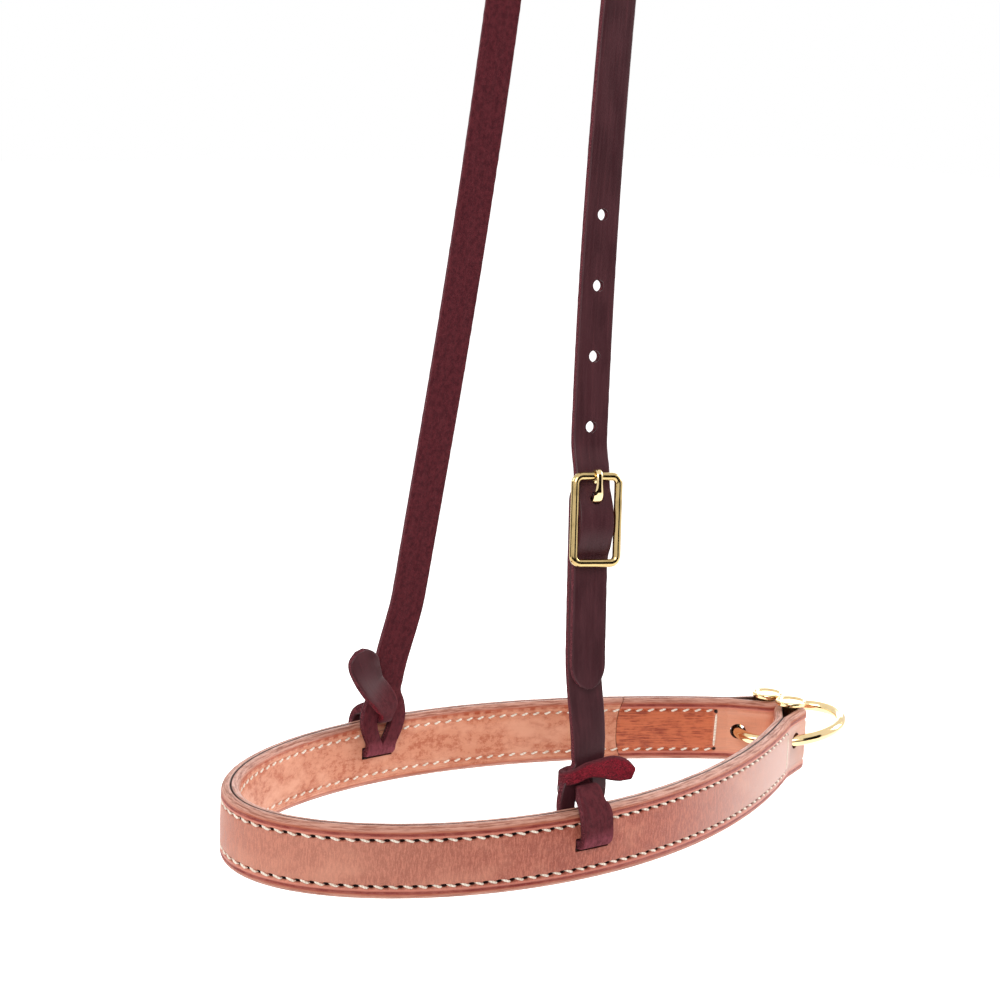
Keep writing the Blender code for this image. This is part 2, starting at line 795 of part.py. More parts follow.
def buckleTongue(look):
    line = tongueLine()
    rings = []
    for i, point in enumerate(line):
        heading = (line[min(i + 1, len(line) - 1)] - line[max(i - 1, 0)]).normalized()
        side = Vector((heading.y, -heading.x)) * tongueThickness / 2
        narrowing = max(0.0, (i - tongueCurlParts) / (len(line) - 1 - tongueCurlParts))
        half = (tongueWidth + (tongueTipWidth - tongueWidth) * narrowing) / 2
        ring = []
        for across, level in ((-half, side), (half, side), (half, -side), (-half, -side)):
            place = point + level
            ring.append((across, place.y, place.x))
        rings.append(ring)
    place = frameMatrix(buckleHeight, bucklePlane, buckleSpan / 2)
    return addPiece("buckle_tongue", sweptMesh("buckle_tongue", rings), look, place)


def slotHinge():
    # The noseband tips a little about the line through the middles of its two cheek slots
    hinge = bpy.data.objects.new("noseband_hinge", None)
    middle = (cheekY[1] + cheekY[-1]) / 2
    hinge.location = (0, middle, cheekSlotHeight - bandDrop)
    bpy.context.scene.collection.objects.link(hinge)
    return hinge


def build():
    for old in list(bpy.data.objects):
        bpy.data.objects.remove(old)
    russet = material("russet_harness_leather", (0.50, 0.21, 0.14), 0.45)
    russetLining = material("russet_lining_leather", (0.60, 0.25, 0.13), 0.5)
    burgundy = material("burgundy_latigo", (0.055, 0.014, 0.02), 0.35)
    linen = material("waxed_linen_thread", (0.80, 0.72, 0.62), 0.6)
    brass = material("brass", (0.83, 0.60, 0.26), 0.2, 1.0)
    hinge = slotHinge()
    cheekSlots = cheekSlotCutter()
    outer = outerStrap(russet, hinge)
    for cutter in (cheekSlots, ringSlotCutter(), crossStitchCutter()):
        cut(outer, cutter)
    cut(liner(russetLining, hinge), cheekSlots)
    threadLoop("outer_thread", 1, linen, hinge)
    threadLoop("inner_thread", -1, linen, hinge)
    bindingPost(1, "near", brass, hinge)
    bindingPost(-1, "far", brass, hinge)
    tieRing(brass, hinge)
    holes = strapHoleCutter()
    cut(crownStrap(burgundy), holes)
    cut(cheekStrap(burgundy), holes)
    buckleFrame(brass)
    buckleTongue(brass)


build()
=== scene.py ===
# A tie-down noseband on its hanger: sewn russet leather, dark latigo and solid brass.
# Shapes are worked out in millimetres and turned into metres as each mesh is made.

import math

import bmesh
import bpy
import numpy as np
from mathutils import Matrix, Vector, noise
from mathutils.kdtree import KDTree


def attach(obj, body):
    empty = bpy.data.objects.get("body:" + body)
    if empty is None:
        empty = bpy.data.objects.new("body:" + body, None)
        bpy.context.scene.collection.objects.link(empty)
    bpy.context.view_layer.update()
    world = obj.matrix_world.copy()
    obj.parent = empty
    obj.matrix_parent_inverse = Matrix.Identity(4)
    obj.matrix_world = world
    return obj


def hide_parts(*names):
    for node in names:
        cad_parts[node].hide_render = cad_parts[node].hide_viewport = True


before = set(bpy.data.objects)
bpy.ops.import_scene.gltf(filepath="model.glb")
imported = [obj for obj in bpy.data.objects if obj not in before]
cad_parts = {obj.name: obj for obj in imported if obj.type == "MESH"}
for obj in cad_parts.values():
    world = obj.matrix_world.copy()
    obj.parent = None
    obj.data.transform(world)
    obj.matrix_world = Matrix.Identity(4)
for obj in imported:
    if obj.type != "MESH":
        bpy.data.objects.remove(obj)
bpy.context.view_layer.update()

mm = 0.001
sharpAngle = math.radians(38)


# Camera, floor and light

shot = {
    "cameraPlace": (0.6836, -0.5745, -0.2180),
    "facing": (-0.7857, 0.6187),
    "pitch": 11.2437,
    "roll": 2.4156,
    "lens": 89.1,
    "floorHeight": -0.80,
    "floorSize": 14.0,
    "floorColour": (0.92, 0.92, 0.92, 1),
    "floorGlow": 0.85,
    "worldGrey": 0.42,
    "cardColour": (0.012, 0.009, 0.007, 1),
}

# Each lamp: place, what it points at, width, height, power and colour
lamps = {
    "keyLamp": ((1.15, -1.15, 0.55), (0, -0.02, -0.45), 0.9, 0.9, 17.0, (1, 0.985, 0.96)),
    "backLamp": ((0.35, 1.25, 0.15), (0, 0.06, -0.47), 0.5, 0.8, 15.0, (1, 0.98, 0.95)),
    "noseLamp": ((-0.75, -1.1, 0.2), (0, -0.1, -0.48), 0.7, 0.7, 9.0, (1, 0.99, 0.97)),
    "farLamp": ((-1.0, 0.95, -0.2), (0, 0.1, -0.48), 1.0, 0.6, 4.0, (1, 1, 1)),
}

# Dark cards that only polished metal sees, so that it has something to reflect
darkCards = {
    "leftCard": ((-0.75, -1.25, -0.4), (0, 0, -0.45), 0.9, 1.8),
    "rightCard": ((1.35, 0.15, -0.3), (0, 0, -0.45), 0.9, 1.8),
    "lowCard": ((0.65, -0.6, -0.78), (0, 0, -0.45), 1.6, 0.7),
}


def feed(tree, socket, value):
    # A link from another node, or a plain value
    if isinstance(value, bpy.types.NodeSocket):
        tree.links.new(value, socket)
    else:
        socket.default_value = value


def addNode(tree, kind, inputs=None, **settings):
    node = tree.nodes.new("ShaderNode" + kind)
    for key, value in settings.items():
        setattr(node, key, value)
    for key, value in (inputs or {}).items():
        feed(tree, node.inputs[key], value)
    return node


def calc(tree, operation, first, second=0.0):
    return addNode(tree, "Math", {0: first, 1: second}, operation=operation).outputs[0]


def pointedAt(place, target):
    place = Vector(place)
    turn = (Vector(target) - place).to_track_quat("-Z", "Y")
    return Matrix.Translation(place) @ turn.to_matrix().to_4x4()


def seenRays(tree):
    # One for rays that see the background directly, in metal or through glass
    rays = addNode(tree, "LightPath").outputs
    seen = calc(tree, "MAXIMUM", rays["Is Camera Ray"], rays["Is Glossy Ray"])
    return calc(tree, "MAXIMUM", seen, rays["Is Transmission Ray"])


def setWorld():
    world = bpy.data.worlds.new("softRoom")
    bpy.context.scene.world = world
    world.use_nodes = True
    tree = world.node_tree
    tree.nodes.clear()
    light = addNode(tree, "Background", {"Color": (1, 1, 1, 1), "Strength": shot["worldGrey"]})
    white = addNode(tree, "Background", {"Color": (1, 1, 1, 1), "Strength": 1.0})
    mixed = addNode(tree, "MixShader", {0: seenRays(tree), 1: light.outputs[0], 2: white.outputs[0]})
    addNode(tree, "OutputWorld", {"Surface": mixed.outputs[0]})


def addFlat(name, width, height, place):
    mesh = bpy.data.meshes.new(name)
    corners = [(-width / 2, -height / 2, 0), (width / 2, -height / 2, 0),
               (width / 2, height / 2, 0), (-width / 2, height / 2, 0)]
    mesh.from_pydata(corners, [], [(0, 1, 2, 3)])
    flat = bpy.data.objects.new(name, mesh)
    flat.matrix_world = place
    bpy.context.scene.collection.objects.link(flat)
    return flat


def addFloor():
    made = bpy.data.materials.new("paleFloor")
    made.use_nodes = True
    tree = made.node_tree
    tree.nodes.clear()
    paint = addNode(tree, "BsdfDiffuse", {"Color": shot["floorColour"]})
    strength = calc(tree, "MULTIPLY", seenRays(tree), shot["floorGlow"])
    glow = addNode(tree, "Emission", {"Color": (1, 1, 1, 1), "Strength": strength})
    both = addNode(tree, "AddShader", {0: paint.outputs[0], 1: glow.outputs[0]})
    addNode(tree, "OutputMaterial", {"Surface": both.outputs[0]})
    place = Matrix.Translation((0, 0, shot["floorHeight"]))
    floor = addFlat("floor", shot["floorSize"], shot["floorSize"], place)
    floor.data.materials.append(made)


def addCards():
    made = bpy.data.materials.new("darkCard")
    made.use_nodes = True
    shader = made.node_tree.nodes["Principled BSDF"]
    shader.inputs["Base Color"].default_value = shot["cardColour"]
    shader.inputs["Specular IOR Level"].default_value = 0.0
    for name, (place, target, width, height) in darkCards.items():
        card = addFlat(name, width, height, pointedAt(place, target))
        card.data.materials.append(made)
        card.visible_camera = False
        card.visible_diffuse = False
        card.visible_shadow = False


def addLamps():
    for name, (place, target, width, height, power, colour) in lamps.items():
        light = bpy.data.lights.new(name, "AREA")
        light.shape = "RECTANGLE"
        light.size = width
        light.size_y = height
        light.energy = power
        light.color = colour
        lamp = bpy.data.objects.new(name, light)
        lamp.matrix_world = pointedAt(place, target)
        lamp.visible_camera = False
        bpy.context.scene.collection.objects.link(lamp)


def addCamera():
    pitch = math.radians(shot["pitch"])
    roll = math.radians(shot["roll"])
    level = Vector((*shot["facing"], 0)).normalized()
    ahead = level * math.cos(pitch) - Vector((0, 0, math.sin(pitch)))
    right = ahead.cross(Vector((0, 0, 1))).normalized()
    up = right.cross(ahead)
    turnedRight = math.cos(roll) * right + math.sin(roll) * up
    turnedUp = math.cos(roll) * up - math.sin(roll) * right
    lens = bpy.data.cameras.new("photoCamera")
    lens.lens = shot["lens"]
    lens.clip_end = 50
    camera = bpy.data.objects.new("photoCamera", lens)
    axes = Matrix((turnedRight, turnedUp, -ahead)).transposed().to_4x4()
    camera.matrix_world = Matrix.Translation(shot["cameraPlace"]) @ axes
    bpy.context.scene.collection.objects.link(camera)
    bpy.context.scene.camera = camera


bpy.context.scene.view_settings.view_transform = "Standard"
setWorld()
addFloor()
addCards()
addLamps()
addCamera()
print("camera, floor and light are set")


# Material nodes. Leather reads its place along, across and through the strap in millimetres.


def newLook(name, specular, metallic=0.0):
    made = bpy.data.materials.new(name)
    made.use_nodes = True
    shader = made.node_tree.nodes["Principled BSDF"]
    shader.inputs["Specular IOR Level"].default_value = specular
    shader.inputs["Metallic"].default_value = metallic
    return made, made.node_tree


def finishLook(made, colour, roughness, heights, depths):
    # depths: by name, how many millimetres a height that goes from nought to one stands for
    tree = made.node_tree
    shader = tree.nodes["Principled BSDF"]
    tree.links.new(colour, shader.inputs["Base Color"])
    feed(tree, shader.inputs["Roughness"], roughness)
    normal = None
    for name, depth in depths.items():
        inputs = {"Height": heights[name], "Distance": depth * mm, "Strength": 1.0}
        if normal is not None:
            inputs["Normal"] = normal
        normal = addNode(tree, "Bump", inputs).outputs[0]
    tree.links.new(normal, shader.inputs["Normal"])
    return made


def stored(tree, name):
    return addNode(tree, "Attribute", attribute_name=name).outputs["Vector"]


def parted(tree, vector):
    return list(addNode(tree, "SeparateXYZ", {0: vector}).outputs)


def speckle(tree, vector, sizes, detail, roughness):
    # Noise whose spots have these sizes in the three directions, in the vector's own unit
    scales = tuple(1 / size for size in sizes)
    where = addNode(tree, "VectorMath", {0: vector, 1: scales}, operation="MULTIPLY").outputs[0]
    made = addNode(tree, "TexNoise", {"Vector": where, "Scale": 1.0, "Detail": detail,
                                      "Roughness": roughness})
    return made.outputs[0]


def speckles(tree, vector, noises):
    # noises: for each name, the spots' sizes, the detail and the roughness of the noise
    return {name: speckle(tree, vector, *values) for name, values in noises.items()}


def remap(tree, value, low, high, toLow=0.0, toHigh=1.0):
    made = addNode(tree, "MapRange", {"Value": value, "From Min": low, "From Max": high,
                                      "To Min": toLow, "To Max": toHigh},
                   interpolation_type="SMOOTHSTEP")
    return made.outputs["Result"]


def apart(tree, first, second):
    return calc(tree, "ABSOLUTE", calc(tree, "SUBTRACT", first, second))


def fromWhole(tree, value):
    # How far a value is from the nearest whole number
    return apart(tree, value, calc(tree, "ROUND", value))


def squareSum(tree, first, second):
    return calc(tree, "ADD", calc(tree, "MULTIPLY", first, first), calc(tree, "MULTIPLY", second, second))


def blended(tree, share, first, second):
    # The first colour, with this share of the second over it
    made = addNode(tree, "Mix", {0: share}, data_type="RGBA")
    for index, value in ((6, first), (7, second)):
        plain = not isinstance(value, bpy.types.NodeSocket)
        feed(tree, made.inputs[index], (*value, 1) if plain else value)
    return made.outputs[2]


def layered(tree, colour, layers):
    # Each layer: a value, the low and high end of its change, its strength at both, and its colour
    for value, low, high, before, after, shade in layers:
        colour = blended(tree, remap(tree, value, low, high, before, after), colour, shade)
    return colour


def linear(red, green, blue):
    # A colour as read from a screen, turned into the shader's linear numbers
    found = []
    for level in (red, green, blue):
        level = level / 255
        found.append(level / 12.92 if level <= 0.04045 else ((level + 0.055) / 1.055) ** 2.4)
    return tuple(found)


# Sewn strap of the noseband

band = {
    "height": 25.4,
    "layer": 3.35,
    "gap": 0.3,
    "edgeRound": 2.2,
    "drop": 500.0,
    "planLength": 259.4,
    "planHalfWidth": 62.5,
    "planFullness": 0.5,
    "seamSamples": 4001,
    "crossingSamples": 2000,
    "noseReach": 140.0,
    "foldBack": 62.0,
    "foldOpening": 16.0,
    "foldSideGap": 0.3,
    "step": 0.5,
    "freeStep": 0.7,
    "turnParts": 34,
    "backBevel": 0.25,
    "backLevel": 4.0,
    "shownFrom": 0.3,
    "facePoints": 10,
    "creaseUp": 10.1,
    "creaseDepth": 0.24,
    "creaseFoot": (0.35, 0.85),
    "pillow": 0.14,
    "endCut": 3.0,
    "endCurve": 2.6,
    "endReach": 14.0,
    "frontStations": 24,
    "turnBlend": 41,
}

stitches = {
    "row": 8.1,
    "count": 56,
    "crossSetBack": 3.6,
    "crossReach": 7.5,
    "crossRadius": 0.62,
    "crossHole": 0.75,
    "crossShift": 0.2,
    "crossLean": 0.5,
    "crossHoleUp": 0.25,
    "crossBury": 0.28,
    "crossSink": 1.1,
    "crossBends": 15,
    "slant": 1.15,
    "wobble": 0.12,
    "wobblePace": (1.7, 3.1),
    "radius": 0.44,
    "slimEnds": 0.28,
    "flatness": 0.85,
    "inset": {1: 0.75, -1: 0.95},
    "bury": 0.34,
    "sink": {1: 1.15, -1: 0.9},
    "dive": 5,
    "crossDive": 12,
    "holeEdge": 1.6,
    "grooveHalf": 0.8,
    "grooveDepth": 0.36,
    "groovePoints": 6,
    "holeAlong": 1.15,
    "holeUp": 0.6,
    "holeDepth": 1.25,
    "holeShade": (0.5, 1.15),
    "crossShade": (0.6, 1.5),
    "innerHoleAlong": 0.7,
    "innerHoleUp": 0.45,
    "innerHoleDepth": 0.55,
    "sides": 8,
    "bends": 9,
}

posts = {
    "radius": 3.0,
    "headRadius": 6.0,
    "headThickness": 1.8,
    "rise": 1.2,
    "rim": 0.6,
    "rimTurn": 115,
    "rimParts": 8,
    "dish": 0.55,
    "dishInset": 1.32,
    "dishWall": ((0.2, 0.3025), (0.36, 0.12)),
    "hub": 0.4,
    "hubLevel": 0.7,
    "dishPoints": 8,
    "lip": 0.35,
    "lipParts": 4,
    "neck": 0.3,
    "bevel": 0.2,
    "screwHead": 1.6,
    "screwRound": 0.4,
    "screwTaper": 0.3,
    "screwRadius": 1.75,
    "screwReach": 14.0,
    "slotWidth": 1.2,
    "slotDepth": 0.9,
    "parts": 56,
}

ring = {
    "radius": 21.0,
    "wire": 2.15,
    "setOut": 6.2,
    "rise": 3.4,
    "tilt": 9.0,
    "lean": 3.0,
    "play": 0.9,
    "parts": 128,
    "wireParts": 24,
}

cheek = {
    "forward": 5.0,
    "slotHeight": 0.9,
    "gap": 0.8,
    "slotGap": 0.86,
    "slotCorner": 0.35,
    "cornerParts": 3,
    "cutLayers": 6,
    "slotShift": {1: 0.0, -1: -3.6},
    "knotShift": {1: 3.3, -1: -3.9},
}

layerOffset = (band["layer"] + band["gap"]) / 2
surface = band["layer"] + band["gap"] / 2
foldRadius = posts["radius"] + band["gap"] + band["layer"] / 2
foldOuterRadius = foldRadius + band["layer"] / 2
postX = foldOuterRadius + band["foldSideGap"] / 2


def swell(s):
    return s * (1 - s * s) * (1 + band["planFullness"] * s * s)


# The seam line between the two layers, seen from above, with its length from the nose
samples = np.linspace(-1, 1, band["seamSamples"])
seamX = band["planHalfWidth"] * swell(samples) / swell(samples).max()
seamY = band["planLength"] * samples**2 - band["noseReach"]
seamRun = np.concatenate([[0], np.cumsum(np.hypot(np.diff(seamX), np.diff(seamY)))])
seamRun -= seamRun[len(samples) // 2]
headingX = np.gradient(seamX, seamRun)
headingY = np.gradient(seamY, seamRun)


def seamAt(runs, offset=0.0):
    # Points beside the seam line at these distances, offset outwards, and the outward directions
    runs = np.asarray(runs, float)
    x = np.interp(runs, seamRun, headingX)
    y = np.interp(runs, seamRun, headingY)
    outward = np.stack([y, -x], -1) / np.hypot(x, y)[..., None]
    point = np.stack([np.interp(runs, seamRun, seamX), np.interp(runs, seamRun, seamY)], -1)
    return point + np.asarray(offset)[..., None] * outward, outward


pastWidest = samples > samples[np.argmax(seamX)]
postRun = float(np.interp(-postX, -seamX[pastWidest], seamRun[pastWidest]))
post = seamAt(postRun)[0]
ringY = float(post[1]) + ring["setOut"]


def ringCrossing(offset, reach):
    # Where a face of the folded strap is this far from the ring's middle
    runs = np.linspace(postRun, 0, band["crossingSamples"])
    places = seamAt(runs, offset)[0]
    reaches = np.hypot(places[:, 0], places[:, 1] - ringY)
    return seamAt(np.interp(reach, reaches, runs), offset)[0]


ringSlotReach = ring["radius"] + ring["wire"] + ring["play"]
ringSlotY = float(ringCrossing(-surface, ringSlotReach)[1])
slotRun = float(np.interp(ringSlotY, seamY[pastWidest], seamRun[pastWidest]))
backRun = postRun - band["foldBack"]
crossRun = slotRun - stitches["crossSetBack"]
openRun = postRun - band["foldOpening"]
cheekLine = float(seamY[np.argmax(seamX)]) - cheek["forward"]
cheekY = {side: cheekLine + shift for side, shift in cheek["slotShift"].items()}
cheekHalf = {side: float(np.interp(y, seamY[samples > 0], seamX[samples > 0]))
             for side, y in cheekY.items()}
stitchPitch = crossRun / stitches["count"]


# Mesh making


def pieceFrom(name, points, faces, stores, looks):
    # stores: vectors kept on the points for the materials
    mesh = bpy.data.meshes.new(name)
    mesh.from_pydata((np.asarray(points) * mm).tolist(), [], faces)
    for key, values in stores.items():
        layer = mesh.attributes.new(key, "FLOAT_VECTOR", "POINT")
        layer.data.foreach_set("vector", np.asarray(values, np.float32).ravel())
    for look in looks:
        mesh.materials.append(look)
    shape = bmesh.new()
    shape.from_mesh(mesh)
    bmesh.ops.recalc_face_normals(shape, faces=shape.faces)
    shape.to_mesh(mesh)
    shape.free()
    mesh.shade_smooth()
    mesh.set_sharp_from_angle(angle=sharpAngle)
    piece = bpy.data.objects.new(name, mesh)
    bpy.context.scene.collection.objects.link(piece)
    return piece


def gridFaces(count, around, closed=False, first=0):
    # Quads between rows of points that each go once round, with a cap on each open end
    index = np.arange(count * around).reshape(count, around) + first
    after = np.roll(index, -1, axis=0)
    rows = count if closed else count - 1
    quads = np.stack([index, np.roll(index, -1, 1), np.roll(after, -1, 1), after], -1)[:rows]
    faces = quads.reshape(-1, 4).tolist()
    if not closed:
        faces += [index[0].tolist(), index[-1].tolist()]
    return faces


def settle(piece, body, slotName, *nodes):
    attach(piece, body)
    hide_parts(*nodes)


def circle(parts, shift=0.0):
    # Cosines and sines of even turns, which begin this share of a part round
    turns = [2 * math.pi * (i + shift) / parts for i in range(parts)]
    return [(math.cos(turn), math.sin(turn)) for turn in turns]


def roundCorner(right, up, bend, start, end, parts=6):
    # Points round a corner whose middle is at (right, up), by degrees
    found = []
    for i in range(parts + 1):
        turn = math.radians(start + (end - start) * i / parts)
        found.append((right + bend * math.cos(turn), up + bend * math.sin(turn)))
    return found


def roundedBox(halfWidth, halfHeight, bend, parts):
    found = []
    for right, up, start in ((1, 1, 0), (-1, 1, 90), (-1, -1, 180), (1, -1, 270)):
        middle = (right * (halfWidth - bend), up * (halfHeight - bend))
        found += roundCorner(*middle, bend, start, start + 90, parts)
    return found


def cutterFrom(name, points, faces):
    # Cut faces take the second look of a piece that has two
    cutter = pieceFrom(name, points, faces, {}, [])
    for face in cutter.data.polygons:
        face.material_index = 1
    cutter.hide_render = True
    return cutter


def prismCutter(name, prisms):
    # prisms: an outline, a place in millimetres and a depth
    points = []
    faces = []
    for outline, place, depth in prisms:
        first = len(points)
        around = len(outline)
        for level in (-depth / 2, depth / 2):
            points += [place @ Vector((x, y, level)) for x, y in outline]
        faces += gridFaces(2, around, first=first)
    return cutterFrom(name, points, faces)


def cutPiece(piece, cutters, stores):
    # Cuts for good, then gives each point the stored places of the nearest point before the cut
    old = piece.data
    tree = KDTree(len(old.vertices))
    for vertex in old.vertices:
        tree.insert(vertex.co, vertex.index)
    tree.balance()
    kept = {}
    for key in stores:
        values = np.empty(3 * len(old.vertices), np.float32)
        old.attributes[key].data.foreach_get("vector", values)
        kept[key] = values.reshape(-1, 3)
    for cutter in cutters:
        modifier = piece.modifiers.new(cutter.name, "BOOLEAN")
        modifier.operation = "DIFFERENCE"
        modifier.solver = "EXACT"
        modifier.object = cutter
    graph = bpy.context.evaluated_depsgraph_get()
    mesh = bpy.data.meshes.new_from_object(piece.evaluated_get(graph))
    piece.modifiers.clear()
    piece.data = mesh
    nearest = [tree.find(vertex.co)[1] for vertex in mesh.vertices]
    for key, values in kept.items():
        if key in mesh.attributes:
            mesh.attributes.remove(mesh.attributes[key])
        layer = mesh.attributes.new(key, "FLOAT_VECTOR", "POINT")
        layer.data.foreach_set("vector", values[nearest].ravel())
    mesh.set_sharp_from_angle(angle=sharpAngle)
    bpy.data.meshes.remove(old)
    for cutter in cutters:
        bpy.data.objects.remove(cutter)


# The sewn strap's two layers


def layerProfile():
    # Closed section as (outwards, up), round where it shows, with the crease and the stitch groove
    face = band["layer"] / 2
    top = band["height"] / 2
    bend = band["edgeRound"]
    bevel = band["backBevel"]
    upper = [(-face, top - bevel), (bevel - face, top)]
    upper += roundCorner(face - bend, top - bend, bend, 90, 0)
    upper.append((face - band["creaseDepth"], band["creaseUp"]))
    upper += [(face, band["creaseUp"] - drop) for drop in band["creaseFoot"]]
    for share in np.linspace(1, -1, stitches["groovePoints"]):
        depth = stitches["grooveDepth"] * (1 - share * share)
        upper.append((face - depth, stitches["row"] + share * stitches["grooveHalf"]))
    lower = [(out, -up) for out, up in reversed(upper)]
    innerUp = stitches["row"] - stitches["grooveHalf"]
    middle = [(face, up) for up in np.linspace(innerUp, -innerUp, band["facePoints"])[1:-1]]
    back = [(-face, -band["backLevel"]), (-face, band["backLevel"])]
    return np.array(upper + middle + lower + back)


def mirrorLine(points, runs):
    # The far half of a line that starts at the nose, followed by the half itself
    far = points[:0:-1] * (-1, 1)
    return np.vstack([far, points]), np.concatenate([-runs[:0:-1], runs])


def segment(start, end, step):
    parts = max(1, round(float(np.linalg.norm(end - start)) / step))
    shares = np.arange(1, parts + 1)[:, None] / parts
    return start + (end - start) * shares


def touchAngles():
    outer = seamAt(openRun, layerOffset)[0] - post
    inner = seamAt(openRun, -layerOffset)[0] - post
    start = math.atan2(outer[1], outer[0]) + math.acos(foldRadius / math.hypot(*outer))
    end = math.atan2(inner[1], inner[0]) - math.acos(foldRadius / math.hypot(*inner))
    return start, end + 2 * math.pi


def outerLine():
    # From the nose along the outside, round the post and back along the inside
    step = band["step"]
    out = np.linspace(0, openRun, round(openRun / step) + 1)
    start, end = touchAngles()
    turns = np.linspace(start, end, band["turnParts"])
    arc = post + foldRadius * np.stack([np.cos(turns), np.sin(turns)], -1)
    front = seamAt(out, layerOffset)[0]
    back = np.linspace(openRun, backRun + band["gap"] / 2, round((openRun - backRun) / step) + 1)
    behind = seamAt(back, -layerOffset)[0]
    rise = segment(front[-1], arc[0], band["freeStep"])
    fall = segment(arc[-1], behind[0], band["freeStep"])
    points = np.vstack([front, rise, arc[1:], fall, behind[1:]])
    free = np.full(len(rise) + len(arc) - 1 + len(fall), postRun)
    return mirrorLine(points, np.concatenate([out, free, back[1:]]))


def linerLine():
    runs = np.linspace(0, backRun - band["gap"] / 2, round(backRun / band["step"]) + 1)
    points, both = mirrorLine(seamAt(runs, -layerOffset)[0], runs)
    return points[::-1], both[::-1]


def stitchDents(runs, ups, isInner):
    # How deep the awl holes are at each place of the grid
    along = "innerHoleAlong" if isInner else "holeAlong"
    rise = "innerHoleUp" if isInner else "holeUp"
    depth = "innerHoleDepth" if isInner else "holeDepth"
    nearest = np.round(runs / stitchPitch) * stitchPitch
    far = (runs - nearest) / stitches[along]
    held = np.abs(nearest) < crossRun + 0.5 * stitchPitch
    tall = (np.abs(ups) - stitches["row"]) / stitches[rise]
    reach = far[:, None] ** 2 + tall[None, :] ** 2
    return stitches[depth] * np.exp(-(reach ** stitches["holeEdge"])) * held[:, None]


def layerPiece(name, line, runs, looks, frontFace):
    # frontFace: for each station, whether the layer's shown side is the outside of the noseband
    profile = layerProfile()
    heading = np.gradient(line, axis=0)
    heading /= np.linalg.norm(heading, axis=1)[:, None]
    outward = np.stack([heading[:, 1], -heading[:, 0]], -1)
    outs = np.tile(profile[:, 0], (len(line), 1))
    ups = profile[:, 1]
    shown = profile[:, 0] > band["shownFrom"]
    dents = np.where(frontFace[:, None], stitchDents(runs, ups, False), stitchDents(runs, ups, True))
    sewn = (np.abs(runs) < openRun)[:, None]
    crown = band["pillow"] * (1 - np.abs(ups / stitches["row"]) ** 2) * (np.abs(ups) < stitches["row"])
    outs += np.where(shown, crown - band["pillow"] - dents * sewn, 0)
    # The butted ends are cut to a curve, the fold-back's and the liner's alike
    endward = np.abs(np.abs(runs) - backRun)
    nearEnd = (~frontFace) * np.clip(1 - endward / band["endReach"], 0, 1) ** 2
    cutBack = band["endCut"] * np.abs(2 * ups / band["height"]) ** band["endCurve"]
    away = np.sign(runs)[:, None] * seamDirection(runs)
    shift = (nearEnd[:, None] * cutBack[None, :])[..., None] * away[:, None, :]
    flat = line[:, None, :] + outs[..., None] * outward[:, None, :] + shift
    tall = np.broadcast_to(ups[None, :, None] - band["drop"], (*flat.shape[:2], 1))
    points = np.concatenate([flat, tall], -1).reshape(-1, 3)
    run = np.concatenate([[0], np.cumsum(np.linalg.norm(np.diff(line, axis=0), axis=1))])
    run -= run[-1] / 2
    places = np.stack(np.broadcast_arrays(run[:, None], ups[None, :], outs), -1).reshape(-1, 3)
    turning = np.convolve(frontFace, np.full(band["turnBlend"], 1 / band["turnBlend"]), "same")
    seams = np.stack(np.broadcast_arrays(runs[:, None], turning[:, None], 0 * ups[None, :]), -1)
    faces = gridFaces(len(line), len(ups))
    stores = {"strapPlace": places, "seamPlace": seams.reshape(-1, 3)}
    return pieceFrom(name, points, faces, stores, looks)


def seamDirection(runs):
    outward = seamAt(runs)[1]
    return np.stack([-outward[:, 1], outward[:, 0]], -1)


def cheekSlots(name):
    long = hanger["width"] / 2 + cheek["slotGap"]
    wide = hanger["thickness"] / 2 + cheek["slotGap"]
    outline = roundedBox(long, wide, cheek["slotCorner"], cheek["cornerParts"])
    turn = Matrix(((0, 0, 1), (1, 0, 0), (0, 1, 0))).to_4x4()
    prisms = []
    for side in (1, -1):
        height = cheek["slotHeight"] - band["drop"]
        place = Matrix.Translation((side * cheekHalf[side], cheekY[side], height))
        prisms.append((outline, place @ turn, cheek["cutLayers"] * band["layer"]))
    return prismCutter(name, prisms)


def ringShape(wire):
    # Points and faces of the ring, or of the room that it has in its slots
    place = Matrix.Translation((0, ringY, ring["rise"] - band["drop"]))
    place = place @ Matrix.Rotation(math.radians(ring["tilt"]), 4, "X")
    place = place @ Matrix.Rotation(-math.radians(ring["lean"]), 4, "Y")
    points = []
    for right, ahead in circle(ring["parts"]):
        for out, rise in circle(ring["wireParts"]):
            reach = ring["radius"] + wire * out
            points.append(place @ Vector((reach * right, reach * ahead, wire * rise)))
    return points, gridFaces(ring["parts"], ring["wireParts"], closed=True)


def ringSlot(name):
    points, faces = ringShape(ring["wire"] + ring["play"])
    return cutterFrom(name, points, faces)


# Leather of the noseband

